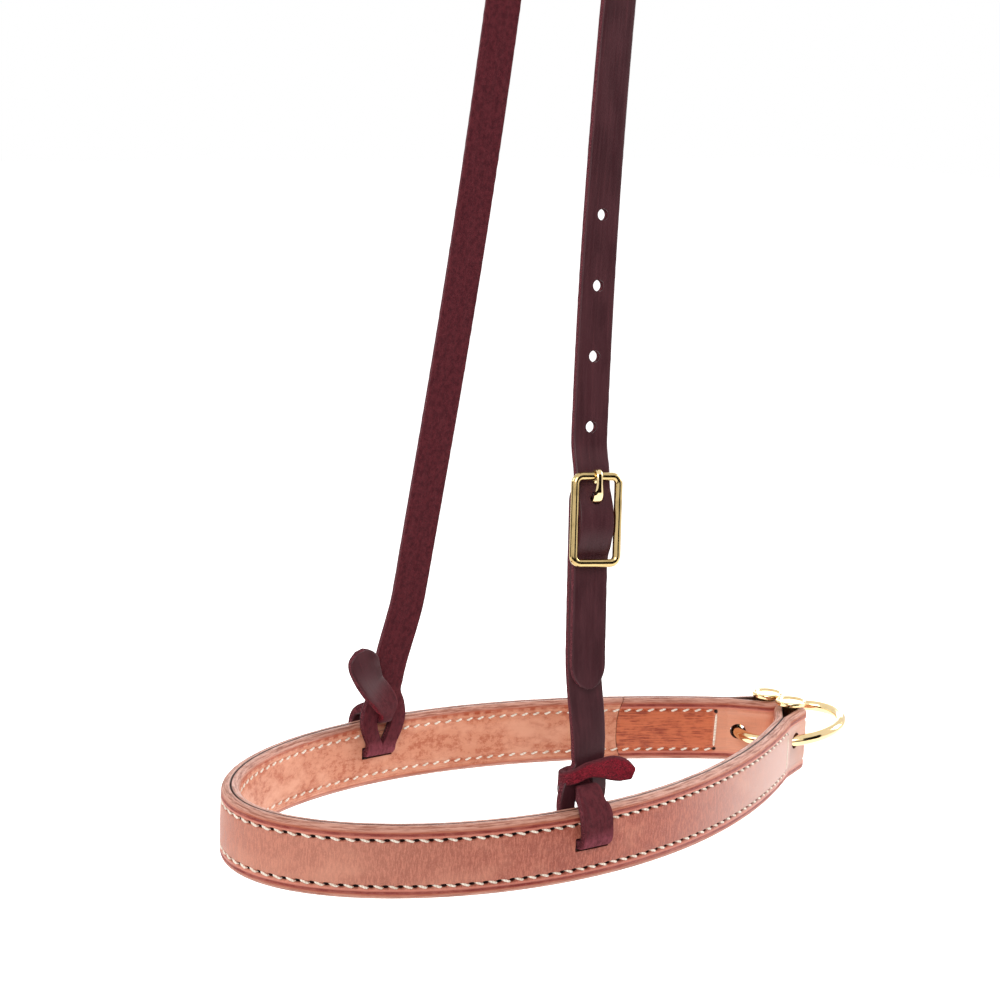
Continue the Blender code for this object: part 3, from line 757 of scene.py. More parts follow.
russet = {
    "pale": linear(216, 146, 122),
    "mid": linear(186, 108, 89),
    "deep": linear(152, 76, 60),
    # Painted sheen: pale colours laid towards both ends of the strap and at the nose, where light glances
    # off
    "endSheen": linear(218, 184, 174),
    "noseSheen": linear(216, 160, 136),
    "edge": linear(204, 150, 132),
    "edgeDeep": linear(146, 86, 66),
    "edgeLow": linear(178, 92, 64),
    "crease": linear(128, 40, 30),
    "strip": linear(208, 124, 106),
    "foldBack": linear(206, 112, 74),
    "foldBackDeep": linear(142, 58, 38),
    # Near black: the painted shade in the awl holes and between the layers, and the dark of the slot
    # walls
    "hole": linear(34, 12, 10),
    "wall": linear(120, 62, 46),
    # Where the painted sheen towards the ends begins, and how far the painted sheen at the nose reaches
    "endSheenFrom": 150.0,
    "noseSheenReach": (20.0, 120.0),
    "foldBackBlend": 1.5,
    "stripFrom": 0.5,
    "stripTo": 1.1,
    "edgeFrom": 0.1,
    "edgeTo": 0.7,
    "edgeLowFrom": 0.5,
    "edgeLowTo": 1.9,
    "creaseLift": 0.05,
    "creaseLine": (0.28, 0.85, 1, 0),
    "creaseWander": (0.3, 0.7, 0.6, 1),
    # Painted shade on the backs of the layers, where the two layers meet
    "seamShade": (-1.55, -1.25, 0.85, 0),
    "specular": 0.34,
    "roughFrom": (0.3, 0.7),
    "roughness": (0.36, 0.58),
    "depths": {"crosswise": 0.16, "lengthwise": 0.07, "pores": 0.035},
}

russetNoises = {
    "crosswise": ((0.6, 2.6, 4.0), 4.0, 0.7),
    "cloud": ((26, 14, 20), 3.0, 0.55),
    "lengthwise": ((9.0, 0.55, 0.8), 4.0, 0.7),
    "fine": ((0.35, 0.5, 0.5), 2.0, 0.55),
    "patches": ((7, 4, 5), 4.0, 0.6),
    "wander": ((6, 3, 3), 3.0, 0.55),
    "pores": ((0.16, 0.2, 0.2), 2.0, 0.55),
}

lining = {
    "pale": linear(222, 158, 130),
    "mid": linear(208, 138, 108),
    "deep": linear(180, 100, 72),
    "marks": linear(170, 78, 48),
    "markShift": 0.15,
    "markRise": 0.2,
    "markAlong": (0.16, 0.34, 1, 0),
    "markUp": (0.3, 0.95, 1, 0),
    "markFade": (0.35, 0.6, 1, 0.35),
    "depths": {"mottle": 0.12, "lengthwise": 0.05, "pores": 0.035},
}

liningNoises = {
    "cloud": ((22, 10, 15), 4.0, 0.6),
    "mottle": ((3.4, 2.6, 3.0), 5.0, 0.72),
    "lengthwise": ((8.0, 0.6, 0.8), 4.0, 0.7),
    "fine": ((0.4, 0.4, 0.4), 2.0, 0.55),
    "pores": ((0.18, 0.18, 0.2), 2.0, 0.55),
}

cutLook = {
    "specular": 0.2,
    "roughness": 0.8,
    "depths": {"fibres": 0.15},
}

cutNoises = {
    "fibres": ((0.0007, 0.0007, 0.0004), 4.0, 0.7),
}


def holeShade(tree, run, up):
    # Painted shade in the awl holes: one at each hole's middle, from the seam distance and the height
    away = fromWhole(tree, calc(tree, "DIVIDE", run, stitchPitch))
    along = calc(tree, "DIVIDE", calc(tree, "MULTIPLY", away, stitchPitch), stitches["holeAlong"])
    tall = calc(tree, "DIVIDE", calc(tree, "SUBTRACT", up, stitches["row"]), stitches["holeUp"])
    dark = remap(tree, squareSum(tree, along, tall), *stitches["holeShade"], 1, 0)
    sewn = remap(tree, calc(tree, "ABSOLUTE", run), crossRun, crossRun + 0.5 * stitchPitch, 1, 0)
    return calc(tree, "MULTIPLY", sewn, dark)


def crossHoles(tree, seam, rise):
    # Painted shade in the awl holes at both ends of the stitch across each strap end
    along = calc(tree, "SUBTRACT", calc(tree, "ABSOLUTE", seam), crossRun + stitches["crossShift"])
    up = calc(tree, "SUBTRACT", rise, stitches["crossReach"] + stitches["crossHoleUp"])
    low, high = (share * stitches["crossHole"] ** 2 for share in stitches["crossShade"])
    return remap(tree, squareSum(tree, along, up), low, high, 1, 0)


def burnished(tree, colour, lengthwise, rise):
    # The rubbed edge over the crease: pale along the top, redder down towards the crease
    crease = band["creaseUp"]
    edge = layered(tree, russet["edgeDeep"], (
        (lengthwise, 0.36, 0.6, 0, 1, russet["edge"]),
        (rise, crease + russet["edgeLowFrom"], crease + russet["edgeLowTo"], 0.8, 0, russet["edgeLow"]),
    ))
    layer = (rise, crease + russet["edgeFrom"], crease + russet["edgeTo"], 0, 1, edge)
    return layered(tree, colour, (layer,))


def russetLook():
    made, tree = newLook("russetHarness", russet["specular"])
    place = stored(tree, "strapPlace")
    _, up, out = parted(tree, place)
    seam, front, _ = parted(tree, stored(tree, "seamPlace"))
    rise = calc(tree, "ABSOLUTE", up)
    fromNose = calc(tree, "ABSOLUTE", seam)
    spots = speckles(tree, place, russetNoises)
    face = layered(tree, russet["deep"], (
        (spots["crosswise"], 0.42, 0.62, 0, 1, russet["mid"]),
        (spots["cloud"], 0.45, 0.78, 0, 0.5, russet["pale"]),
        (spots["fine"], 0.5, 0.75, 0, 0.35, russet["pale"]),
        # Painted sheen, growing towards both ends of the strap and fading away from the nose
        (fromNose, russet["endSheenFrom"], crossRun, 0, 0.75, russet["endSheen"]),
        (fromNose, *russet["noseSheenReach"], 0.3, 0, russet["noseSheen"]),
    ))
    blend = russet["foldBackBlend"]
    back = layered(tree, russet["foldBackDeep"], (
        (spots["lengthwise"], 0.4, 0.62, 0, 1, russet["foldBack"]),
        (spots["patches"], 0.42, 0.62, 0, 0.8, russet["foldBack"]),
        (fromNose, crossRun - blend, crossRun + blend, 0, 0.8, lining["pale"]),
    ))
    colour = blended(tree, front, back, face)
    stripFrom = stitches["row"] + russet["stripFrom"]
    stripTo = stitches["row"] + russet["stripTo"]
    colour = layered(tree, colour, ((rise, stripFrom, stripTo, 0, 0.7, russet["strip"]),))
    colour = burnished(tree, colour, spots["lengthwise"], rise)
    fromCrease = apart(tree, rise, band["creaseUp"] + russet["creaseLift"])
    line = remap(tree, fromCrease, *russet["creaseLine"])
    wander = remap(tree, spots["wander"], *russet["creaseWander"])
    colour = blended(tree, calc(tree, "MULTIPLY", line, wander), colour, russet["crease"])
    # Painted shade in the awl holes
    holes = calc(tree, "MULTIPLY", holeShade(tree, seam, rise), front)
    holes = calc(tree, "MAXIMUM", holes, crossHoles(tree, seam, rise))
    colour = blended(tree, holes, colour, russet["hole"])
    # Painted shade on the back of the layer, where it meets the other layer
    colour = layered(tree, colour, ((out, *russet["seamShade"], russet["hole"]),))
    rough = remap(tree, spots["crosswise"], *russet["roughFrom"], *russet["roughness"])
    return finishLook(made, colour, rough, spots, russet["depths"])


def liningLook():
    made, tree = newLook("russetLining", russet["specular"])
    place = stored(tree, "strapPlace")
    _, up, out = parted(tree, place)
    seam = parted(tree, stored(tree, "seamPlace"))[0]
    spots = speckles(tree, place, liningNoises)
    colour = layered(tree, lining["deep"], (
        (spots["mottle"], 0.36, 0.58, 0, 1, lining["mid"]),
        (spots["cloud"], 0.42, 0.66, 0, 0.85, lining["pale"]),
        (spots["fine"], 0.5, 0.8, 0, 0.4, lining["pale"]),
    ))
    colour = burnished(tree, colour, spots["lengthwise"], calc(tree, "ABSOLUTE", up))
    # The marks that the awl left in the upper edge, one a stitch
    phase = calc(tree, "ADD", calc(tree, "DIVIDE", seam, stitchPitch), lining["markShift"])
    mark = remap(tree, fromWhole(tree, phase), *lining["markAlong"])
    level = apart(tree, up, band["creaseUp"] + lining["markRise"])
    mark = calc(tree, "MULTIPLY", mark, remap(tree, level, *lining["markUp"]))
    mark = calc(tree, "MULTIPLY", mark, remap(tree, spots["cloud"], *lining["markFade"]))
    colour = blended(tree, mark, colour, lining["marks"])
    # Painted shade on the back of the layer, where it meets the other layer
    colour = layered(tree, colour, ((out, *russet["seamShade"], russet["hole"]),))
    low, high = russet["roughness"]
    rough = remap(tree, spots["mottle"], *russet["roughFrom"], high, low)
    return finishLook(made, colour, rough, spots, lining["depths"])


def cutLeatherLook():
    # Raw walls of the slots
    made, tree = newLook("cutRusset", cutLook["specular"])
    spots = speckles(tree, addNode(tree, "TexCoord").outputs["Object"], cutNoises)
    colour = layered(tree, russet["hole"], ((spots["fibres"], 0.35, 0.65, 0, 1, russet["wall"]),))
    return finishLook(made, colour, cutLook["roughness"], spots, cutLook["depths"])


# Stitches

threadLook = {
    "pale": linear(246, 236, 222),
    # The darker colour, for grime and for the painted shade in the grooves between the plies
    "shade": linear(196, 172, 150),
    "twist": 1.15,
    "grime": ((0.004, 0.004, 0.002), 3.0, 0.55),
    "specular": 0.3,
    "roughness": 0.55,
    "plyRise": (0, 0.35),
    "depths": {"plies": 0.12},
}


def linenLook():
    made, tree = newLook("waxedLinen", threadLook["specular"])
    along, around, _ = parted(tree, stored(tree, "strand"))
    turns = calc(tree, "ADD", calc(tree, "DIVIDE", along, threadLook["twist"]), around)
    plies = calc(tree, "PINGPONG", turns, 0.5)
    grime = speckle(tree, addNode(tree, "TexCoord").outputs["Object"], *threadLook["grime"])
    colour = layered(tree, threadLook["pale"], (
        (grime, 0.42, 0.7, 0, 0.6, threadLook["shade"]),
        # Painted shade in the grooves between the plies
        (plies, 0, 0.2, 0.6, 0, threadLook["shade"]),
    ))
    heights = {"plies": remap(tree, plies, *threadLook["plyRise"])}
    return finishLook(made, colour, threadLook["roughness"], heights, threadLook["depths"])


def strands(name, paths, outs, radii, look):
    # One round thread for each path of (x, y, z) points, with the way out of the leather there
    sides = stitches["sides"]
    points = []
    places = []
    faces = []
    for path, out, radius in zip(paths, outs, radii):
        first = len(points)
        along = np.gradient(path, axis=0)
        along /= np.linalg.norm(along, axis=1)[:, None]
        side = np.cross(along, out)
        side /= np.linalg.norm(side, axis=1)[:, None]
        lift = np.cross(side, along)
        run = np.concatenate([[0], np.cumsum(np.linalg.norm(np.diff(path, axis=0), axis=1))])
        for i, point in enumerate(path):
            reach = radius * (1 - stitches["slimEnds"] * abs(2 * i / (len(path) - 1) - 1) ** 3)
            for j, (aside, up) in enumerate(circle(sides)):
                points.append(point + reach * (aside * side[i] + stitches["flatness"] * up * lift[i]))
                places.append((run[i], j / sides, 0))
        faces += gridFaces(len(path), sides, first=first)
    return pieceFrom(name, points, faces, {"strand": places}, [look])


def sunk(bury, sink, shares, sharpness):
    # Distances from the seam to a stitch that dives into the leather at both ends
    return surface - bury - sink * np.abs(2 * shares - 1) ** sharpness


def stitchPiece(name, face, look):
    # face: 1 for the outside of the noseband and -1 for its inside
    paths = []
    outs = []

    def addStitch(runs, level, ups):
        flat, out = seamAt(runs, face * level)
        paths.append(np.column_stack([flat, ups - band["drop"]]))
        outs.append(np.column_stack([face * out, np.zeros(len(runs))]))

    inset = stitches["inset"][face]
    pace, rowPace = stitches["wobblePace"]
    shares = np.linspace(0, 1, stitches["bends"])
    level = sunk(stitches["bury"], stitches["sink"][face], shares, stitches["dive"])
    for row in (1, -1):
        for k in range(-stitches["count"], stitches["count"]):
            start = k * stitchPitch + inset
            end = (k + 1) * stitchPitch - inset
            wobble = stitches["wobble"] * noise.noise(Vector((k * pace, row * rowPace, face)))
            tilt = stitches["slant"] * (0.5 - shares) + wobble
            addStitch(start + (end - start) * shares, level, row * stitches["row"] + tilt)
    shares = np.linspace(0, 1, stitches["crossBends"])
    level = sunk(stitches["crossBury"], stitches["crossSink"], shares, stitches["crossDive"])
    for side in (1, -1):
        runs = side * (crossRun + stitches["crossShift"]) + stitches["crossLean"] * (shares - 0.5)
        addStitch(runs, level, stitches["crossReach"] * (1 - 2 * shares))
    radii = [stitches["radius"]] * (len(paths) - 2) + [stitches["crossRadius"]] * 2
    return strands(name, paths, outs, radii, look)


# Brass

brassTones = {
    "bright": (0.86, 0.66, 0.36),
    "deep": (0.55, 0.36, 0.14),
    "roughness": (0.07, 0.17),
    "cast": (0.6, 0.44, 0.2),
    "castDeep": (0.26, 0.17, 0.06),
    "specular": 0.5,
    "wear": 0.25,
    "castWear": 0.6,
    "wornRoughness": 0.1,
    "wornFrom": (0.45, 0.75),
    "roughFrom": (0.35, 0.75),
    "depths": {"ripples": 0.12, "scratches": 0.006},
}

brassNoises = {
    "cloud": ((0.006, 0.006, 0.006), 4.0, 0.6),
    "scratches": ((0.0003, 0.0025, 0.0025), 3.0, 0.7),
    "ripples": ((0.0045, 0.0045, 0.0045), 1.0, 0.55),
}


def brassLook(name, wear, bright, deep):
    made, tree = newLook(name, brassTones["specular"], metallic=1.0)
    spots = speckles(tree, addNode(tree, "TexCoord").outputs["Object"], brassNoises)
    colour = layered(tree, bright, ((spots["cloud"], *brassTones["wornFrom"], 0, wear, deep),))
    low, high = brassTones["roughness"]
    high += brassTones["wornRoughness"] * wear
    rough = remap(tree, spots["scratches"], *brassTones["roughFrom"], low, high)
    return finishLook(made, colour, rough, spots, brassTones["depths"])


def turnedPiece(name, outline, look, place):
    # A lathe-turned piece, from (radius, height) points
    around = circle(posts["parts"])
    points = [place @ Vector((radius * right, radius * ahead, height))
              for radius, height in outline for right, ahead in around]
    return pieceFrom(name, points, gridFaces(len(outline), posts["parts"]), {}, [look])


def barrelOutline(foot, top):
    # From the middle of the dished head down the outside, and up the bore
    headTop = top + posts["headThickness"]
    screwTop = foot + posts["screwHead"] + band["gap"]
    bore = posts["screwRadius"] + band["gap"]
    rim = posts["rim"]
    lip = posts["lip"]
    outer = posts["headRadius"]
    radius = posts["radius"]
    dishRadius = outer - posts["dishInset"]
    outline = []
    for share in np.linspace(0, 1, posts["dishPoints"]):
        level = posts["hubLevel"] + (1 - posts["hubLevel"]) * share
        reach = posts["hub"] + (dishRadius - posts["hub"]) * share
        outline.append((reach, headTop - posts["dish"] * level))
    outline += [(dishRadius + out, headTop - drop) for out, drop in posts["dishWall"]]
    outline += roundCorner(outer - rim, headTop - rim, rim, posts["rimTurn"], 0, posts["rimParts"])
    outline += roundCorner(outer - lip, top + lip, lip, 0, -90, posts["lipParts"])
    outline += [(radius + posts["neck"], top), (radius, top - posts["neck"])]
    outline += [(radius, screwTop + posts["bevel"]), (radius - posts["bevel"], screwTop)]
    return outline + [(bore, screwTop), (bore, screwTop + posts["screwReach"])]


def screwOutline(foot):
    # From the edge of the screw's flat head round its neck to its end
    screwTop = foot + posts["screwHead"]
    end = screwTop + posts["screwReach"]
    radius = posts["radius"]
    shank = posts["screwRadius"]
    bend = posts["screwRound"]
    outline = roundCorner(radius - bend, foot + bend, bend, -90, 0)
    outline += [(radius, screwTop - posts["bevel"]), (radius - posts["bevel"], screwTop)]
    outline += [(shank, screwTop), (shank, end - posts["screwTaper"])]
    return outline + [(shank - posts["screwTaper"], end)]


def postPieces(side, sideName, look):
    # The barrel stands a little over the strap, and its screw is flush with the strap's lower edge
    foot = -band["height"] / 2
    top = band["height"] / 2 + posts["rise"]
    place = Matrix.Translation((side * float(post[0]), float(post[1]), -band["drop"]))
    barrel = turnedPiece(f"{sideName}PostBarrel", barrelOutline(foot, top), look, place)
    settle(barrel, "noseband", "brass", f"{sideName}_post_barrel")
    screw = turnedPiece(f"{sideName}PostScrew", screwOutline(foot), look, place)
    wide = 2 * posts["radius"]
    half = posts["slotWidth"] / 2
    slot = [(-wide, -half), (wide, -half), (wide, half), (-wide, half)]
    where = place @ Matrix.Translation((0, 0, foot))
    cutPiece(screw, [prismCutter("screwSlot", [(slot, where, 2 * posts["slotDepth"])])], ())
    settle(screw, "noseband", "brass", f"{sideName}_post_screw")


def ringPiece(look):
    points, faces = ringShape(ring["wire"])
    piece = pieceFrom("tieDownRing", points, faces, {}, [look])
    settle(piece, "tie_ring", "brass", "tie_ring")


# Hanger

hanger = {
    "width": 12.7,
    "thickness": 3.0,
    "crownFlat": 24.0,
    "crownHalf": 27.5,
    "spread": 170.0,
    "ease": 1.4,
    "bend": 1.18,
    "swayStart": 8.0,
    "swayRise": 18.0,
    "swayEnd": 30.0,
    "swayFall": 35.0,
    "holeRadius": 2.05,
    "holePitch": 24.0,
    "spareHoles": 4,
    "tongueHoleDrop": 7.6,
    "billetReach": 65.3,
    "billetPoint": 9.0,
    "cheekEndReach": 5.5,
    "easeOut": 14.0,
    "edgeRound": 0.6,
    "rawRound": 0.7,
    "mostRound": 0.9,
    "wornHeight": 2.0,
    "wornRise": 5.0,
    "waver": 0.1,
    "waverPace": 0.35,
    "waverApart": 2.0,
    "shutSlit": 0.02,
    "step": 1.1,
    "bulgeStep": 2.5,
    "cheekStep": 4.0,
    "legStep": 8.0,
    "easeParts": 6,
    "exactRows": 12,
    "flatParts": 4,
    "cornerParts": 4,
    "bulge": 4.4,
    "bulgeDrop": 1.0,
    "bulgeInset": 1.5,
    "turnParts": 10,
    "holeParts": 32,
    "cutLayers": 5,
}

# How far each face turns from the centre plane, in degrees, by height over the band
buckleSideTurn = ((14, 0), (50, -14), (150, -16), (290, -9), (480, -10))
offSideTurn = ((14, 0), (50, -17), (150, -20), (290, -28), (480, -10))

knots = {
    "bendRadius": 2.2,
    "slitMiddle": 15.0,
    "slitLength": 21.0,
    "gatherHeight": 16.0,
    "slitOpening": 3.5,
    "gatherShare": 0.85,
    "loopLean": {1: -2.0, -1: 0.0},
    "footEase": 4.0,
    "slotTurnParts": 6,
    "slitParts": 16,
}

buckle = {
    "height": 110.8,
    "span": 29.7,
    "wire": 1.4,
    "castFullness": 1.03,
    "corner": 2.5,
    "cornerParts": 8,
    "sideGap": 0.35,
    "parts": 16,
}

tongue = {
    "thickness": 1.0,
    "taper": 0.25,
    "reach": 9.1,
    "curlGap": 0.2,
    "curlTurn": 250.0,
    "curlParts": 16,
    "shank": ((1.0, 0.4), (0.75, 0.72), (0.2, 0.93)),
    "dip": 46.0,
    "dipParts": 4,
    "halfWidths": ((0, 1.0), (0.45, 1.1), (0.6, 1.6), (0.7, 1.7), (0.82, 1.25), (0.92, 0.65), (1, 0.3)),
    "squareness": 0.7,
    "step": 0.4,
    "parts": 12,
}

standOff = surface + cheek["gap"] + hanger["thickness"] / 2
crownRadius = hanger["crownHalf"] - hanger["crownFlat"] / 2
legTop = band["drop"] + hanger["thickness"] / 2 - crownRadius
frontLayer = hanger["thickness"] + band["gap"]
tongueCurl = buckle["wire"] + tongue["curlGap"] + tongue["thickness"] / 2
bucklePlane = frontLayer + hanger["thickness"] / 2 + band["gap"] + tongueCurl
bucklePlane += tongue["thickness"] / 2
tongueHole = buckle["height"] + buckle["span"] / 2 - hanger["tongueHoleDrop"]
footTop = knots["slitMiddle"] + knots["slitLength"]


def eased(t):
    t = min(max(t, 0.0), 1.0)
    return t * t * (3 - 2 * t)


def turnAt(turns, height):
    if height <= turns[0][0]:
        return math.radians(turns[0][1])
    for (low, before), (high, after) in zip(turns, turns[1:]):
        if height <= high:
            return math.radians(before + (after - before) * eased((height - low) / (high - low)))
    return math.radians(turns[-1][1])


def legPoint(side, height):
    foot = cheekHalf[side] - standOff
    fall = max(height - band["height"] / 2, 0) / hanger["spread"]
    x = hanger["crownHalf"] + (foot - hanger["crownHalf"]) * math.exp(-(fall ** hanger["ease"]))
    low = cheek["slotShift"][side]
    risen = eased((height - hanger["swayStart"]) / hanger["swayRise"])
    sway = low + (cheek["knotShift"][side] - low) * risen
    sway *= 1 - eased((height - hanger["swayEnd"]) / hanger["swayFall"])
    y = cheekLine * (1 - (max(height, 0) / legTop) ** hanger["bend"]) + sway
    return Vector((side * x, y, height - band["drop"]))


def legAcross(side, height):
    turn = turnAt(buckleSideTurn if side > 0 else offSideTurn, height)
    return Vector((-math.sin(turn), math.cos(turn), 0))


def legFrame(side, height):
    up = (legPoint(side, height + 1) - legPoint(side, height - 1)).normalized()
    across = legAcross(side, height)
    across = (across - across.dot(up) * up).normalized()
    return across, up, side * across.cross(up)


def routeRow(place, across, halfWidth=hanger["width"] / 2, halfThickness=hanger["thickness"] / 2,
             slit=0.0, raw=0.0):
    # One place on a strap's route, with what the materials need to know there
    return [*place, *across, halfWidth, halfThickness, slit, raw]


def legRow(side, height, layer=0.0, halfWidth=hanger["width"] / 2):
    across, _, outward = legFrame(side, height)
    slit = 0.0
    if abs(height - knots["slitMiddle"]) < knots["slitLength"] / 2:
        share = (height - knots["slitMiddle"]) / knots["slitLength"]
        slit = knots["slitOpening"] * math.cos(math.pi * share)
    place = legPoint(side, height) + layer * outward
    return routeRow(place, across, halfWidth + slit, slit=slit)


def heights(bottom, top, step):
    parts = max(1, round((top - bottom) / step))
    return [bottom + (top - bottom) * i / parts for i in range(parts + 1)]


def cheekPlace(side, along, out, height):
    return Vector((side * (cheekHalf[side] + out), cheekY[side] + along, height - band["drop"]))


def quarterTurn(parts, back=False):
    # Even turns from nought to a right angle, or the other way
    turns = [math.radians(90 * i / parts) for i in range(parts + 1)]
    return turns[::-1] if back else turns


def slotTurn(side):
    bend = knots["bendRadius"]
    found = []
    for end in (-1, 1):
        for turn in quarterTurn(knots["slotTurnParts"], back=end > 0):
            out = end * (standOff - bend + bend * math.cos(turn))
            height = cheek["slotHeight"] + bend * (1 - math.sin(turn))
            found.append(routeRow(cheekPlace(side, 0, out, height), (0, 1, 0)))
    return found


def tailRows(side, rows):
    # Rows hold along, out and up places, the across direction, half width, half thickness and raw
    found = []
    for along, out, height, acrossAlong, acrossOut, acrossUp, half, thick, raw in rows:
        place = cheekPlace(side, along, out, height)
        found.append(routeRow(place, (side * acrossOut, acrossAlong, acrossUp), half, thick, raw=raw))
    return found


def gatherRows(side):
    # Up the outside, over the top edge and, gathered narrow, in through the strap's own slit
    flat = hanger["width"] / 2
    thick = hanger["thickness"] / 2
    edge = band["height"] / 2
    middle = knots["gatherHeight"]
    narrow = knots["gatherShare"] * knots["slitOpening"]
    slitAlong = legPoint(side, middle).y - cheekY[side]
    lean = knots["loopLean"][side]
    return [
        (0.1 * lean, standOff, edge - 5, 1, 0, 0, flat, thick, 0),
        (0.5 * lean, standOff, edge - 1, 1, 0, 0, flat, thick, 0),
        (lean, standOff - 0.9, edge + 2.3, 1, 0, 0, flat - 0.8, thick + 0.1, 0),
        (0.8 * lean + 0.2 * slitAlong, standOff - 3.4, edge + 4, 1, 0, 0, flat - 1.6, thick + 0.6, 0),
        (0.3 * lean + 0.6 * slitAlong, -1.2, edge + 4.7, 1, 0, 0, flat - 2.2, thick + 1.4, 0),
        (slitAlong, -standOff, middle, 1, 0, 0, narrow, thick + 1.6, 0),
    ]


def offSideTail():
    flat = hanger["width"] / 2
    thick = hanger["thickness"] / 2
    return gatherRows(-1) + [
        (-0.6, -9.4, 17.6, 1, 0, 0.1, 2.4, 2.6, 0.9),
        (-2.0, -11.9, 21.2, 0.93, 0, 0.36, 4.6, 1.8, 0.9),
        (-5.4, -12.6, 25.8, 0.8, 0.2, 0.5, 5.6, thick, 0.7),
        (-9.4, -12.2, 30.4, 0.74, 0.3, 0.5, 6.0, thick, 0),
        (-11.6, -11.2, 35.6, 0.86, 0.12, 0.42, flat, thick, 0),
        (-12.8, -10.8, 39.6, 0.93, -0.05, 0.36, flat - 0.2, thick, 0),
        (-13.6, -10.6, 42.4, 0.94, -0.05, 0.34, flat - 1.9, thick, 0),
        (-14.1, -10.6, 43.9, 0.94, -0.05, 0.34, 1.9, thick, 0),
    ]


def buckleSideTail():
    thick = hanger["thickness"] / 2
    return gatherRows(1) + [
        (1.6, -9.2, 18.2, 0.95, -0.3, 0, 2.4, 5.4, 0),
        (-0.8, -10.9, 19.2, 0.4, -0.92, 0, thick, 5.6, 0),
        (-3.4, -10.2, 20.2, -0.6, -0.8, 0, thick, 3.8, 0),
        (-5.0, -6.8, 21.6, -1, 0.05, 0, thick, 2.7, 0.4),
        (-3.5, -3.2, 23.3, -0.6, 0.8, 0, thick, 2.5, 0.8),
        (0.8, -2.6, 24.9, -0.1, 1, 0, thick, 2.7, 1),
        (6.8, -2.4, 24.9, 0, 1, 0, thick, 3.4, 1),
        (12.2, -1.9, 24.3, -0.1, 0.99, 0, thick, 4.4, 1),
        (16.8, -0.9, 23.0, -0.15, 0.98, 0, thick, 3.9, 1),
        (19.6, 0.3, 21.8, -0.2, 0.97, 0, thick, 2.3, 1),
    ]


def denseRoute(rows, step):
    # A smooth curve through uneven rows, sampled at even steps and at the rows near both ends
    rows = np.array(rows, float)
    exact = hanger["exactRows"]
    chords = np.linalg.norm(np.diff(rows[:, :3], axis=0), axis=1)
    where = np.concatenate([[0], np.cumsum(chords)])
    slopes = np.diff(rows, axis=0) / chords[:, None]
    bends = np.empty_like(rows)
    bends[0] = slopes[0]
    bends[-1] = slopes[-1]
    before = chords[:-1, None]
    after = chords[1:, None]
    bends[1:-1] = (slopes[:-1] * after + slopes[1:] * before) / (before + after)
    targets = np.linspace(0, where[-1], round(where[-1] / step) + 1)
    targets = np.unique(np.round(np.concatenate([targets, where[:exact], where[-exact:]]), 4))
    index = np.clip(np.searchsorted(where, targets, side="right") - 1, 0, len(chords) - 1)
    length = chords[index]
    t = (targets - where[index]) / length
    found = ((2 * t**3 - 3 * t**2 + 1)[:, None] * rows[index]
             + ((t**3 - 2 * t**2 + t) * length)[:, None] * bends[index]
             + (3 * t**2 - 2 * t**3)[:, None] * rows[index + 1]
             + ((t**3 - t**2) * length)[:, None] * bends[index + 1])
    return found, targets


def halfSection(halfWidth, halfThickness, slit, raw):
    # From the inner bottom round the outer edge to the inner top, as (across, through)
    most = hanger["mostRound"]
    bend = hanger["edgeRound"] + hanger["rawRound"] * raw
    bend = min(bend, most * halfThickness, most * (halfWidth - slit))
    flat = halfWidth - bend
    parts = hanger["flatParts"]
    acrosses = [slit + (flat - slit) * i / parts for i in range(parts + 1)]
    corners = hanger["cornerParts"]
    found = [(across, -halfThickness) for across in acrosses]
    found += roundCorner(flat, bend - halfThickness, bend, -90, 0, corners)[1:]
    found += roundCorner(flat, halfThickness - bend, bend, 0, 90, corners)
    return found + [(across, halfThickness) for across in acrosses[-2::-1]]


def latigoPiece(name, rows, fleshSide, look, seed):
    # A strap of two halves side by side, which part where there is a slit
    route, runs = denseRoute(rows, hanger["step"])
    ahead = np.gradient(route[:, :3], axis=0)
    points = []
    places = []
    sides = []
    sections = []
    for i, station in enumerate(route):
        place = Vector(station[:3])
        along = Vector(ahead[i]).normalized()
        across = Vector(station[3:6])
        across = (across - across.dot(along) * along).normalized()
        rise = along.cross(across)
        halfWidth, halfThickness, slit, raw = station[6:10].tolist()
        slit = max(slit, 0.0)
        worn = 1 - eased((place.z + band["drop"] - hanger["wornHeight"]) / hanger["wornRise"])
        section = []
        for hand in (-1, 1):
            pace = runs[i] * hanger["waverPace"]
            waver = hanger["waver"] * noise.noise(Vector((pace, hand * hanger["waverApart"], seed)))
            outline = halfSection(halfWidth + waver, halfThickness, slit, raw)
            shared = (0, len(outline) - 1) if slit < hanger["shutSlit"] and hand > 0 else ()
            found = []
            for j, (side, through) in enumerate(outline):
                if j in shared:
                    found.append(section[0][j])
                    continue
                found.append(len(points))
                points.append(place + hand * side * across + through * rise)
                places.append((runs[i], hand * side, through))
                sides.append((fleshSide * through / halfThickness, raw, worn))
            section.append(found)
        sections.append(section)
    faces = []
    for (left, right), (nextLeft, nextRight) in zip(sections, sections[1:]):
        for chain, follow in ((left, nextLeft), (right, nextRight)):
            for a, b, c, d in zip(chain, chain[1:], follow[1:], follow):
                faces.append((a, b, c, d))
        if left[0] != right[0] or nextLeft[0] != nextRight[0]:
            for chain, follow in ((left, nextLeft), (right, nextRight)):
                wall = [chain[0], chain[-1], follow[-1], follow[0]]
                faces.append(tuple(dict.fromkeys(wall)))
    for left, right in (sections[0], sections[-1]):
        faces.append(tuple(dict.fromkeys(left + right[::-1])))
    stores = {"strapPlace": places, "sides": sides}
    return pieceFrom(name, points, faces, stores, [look])


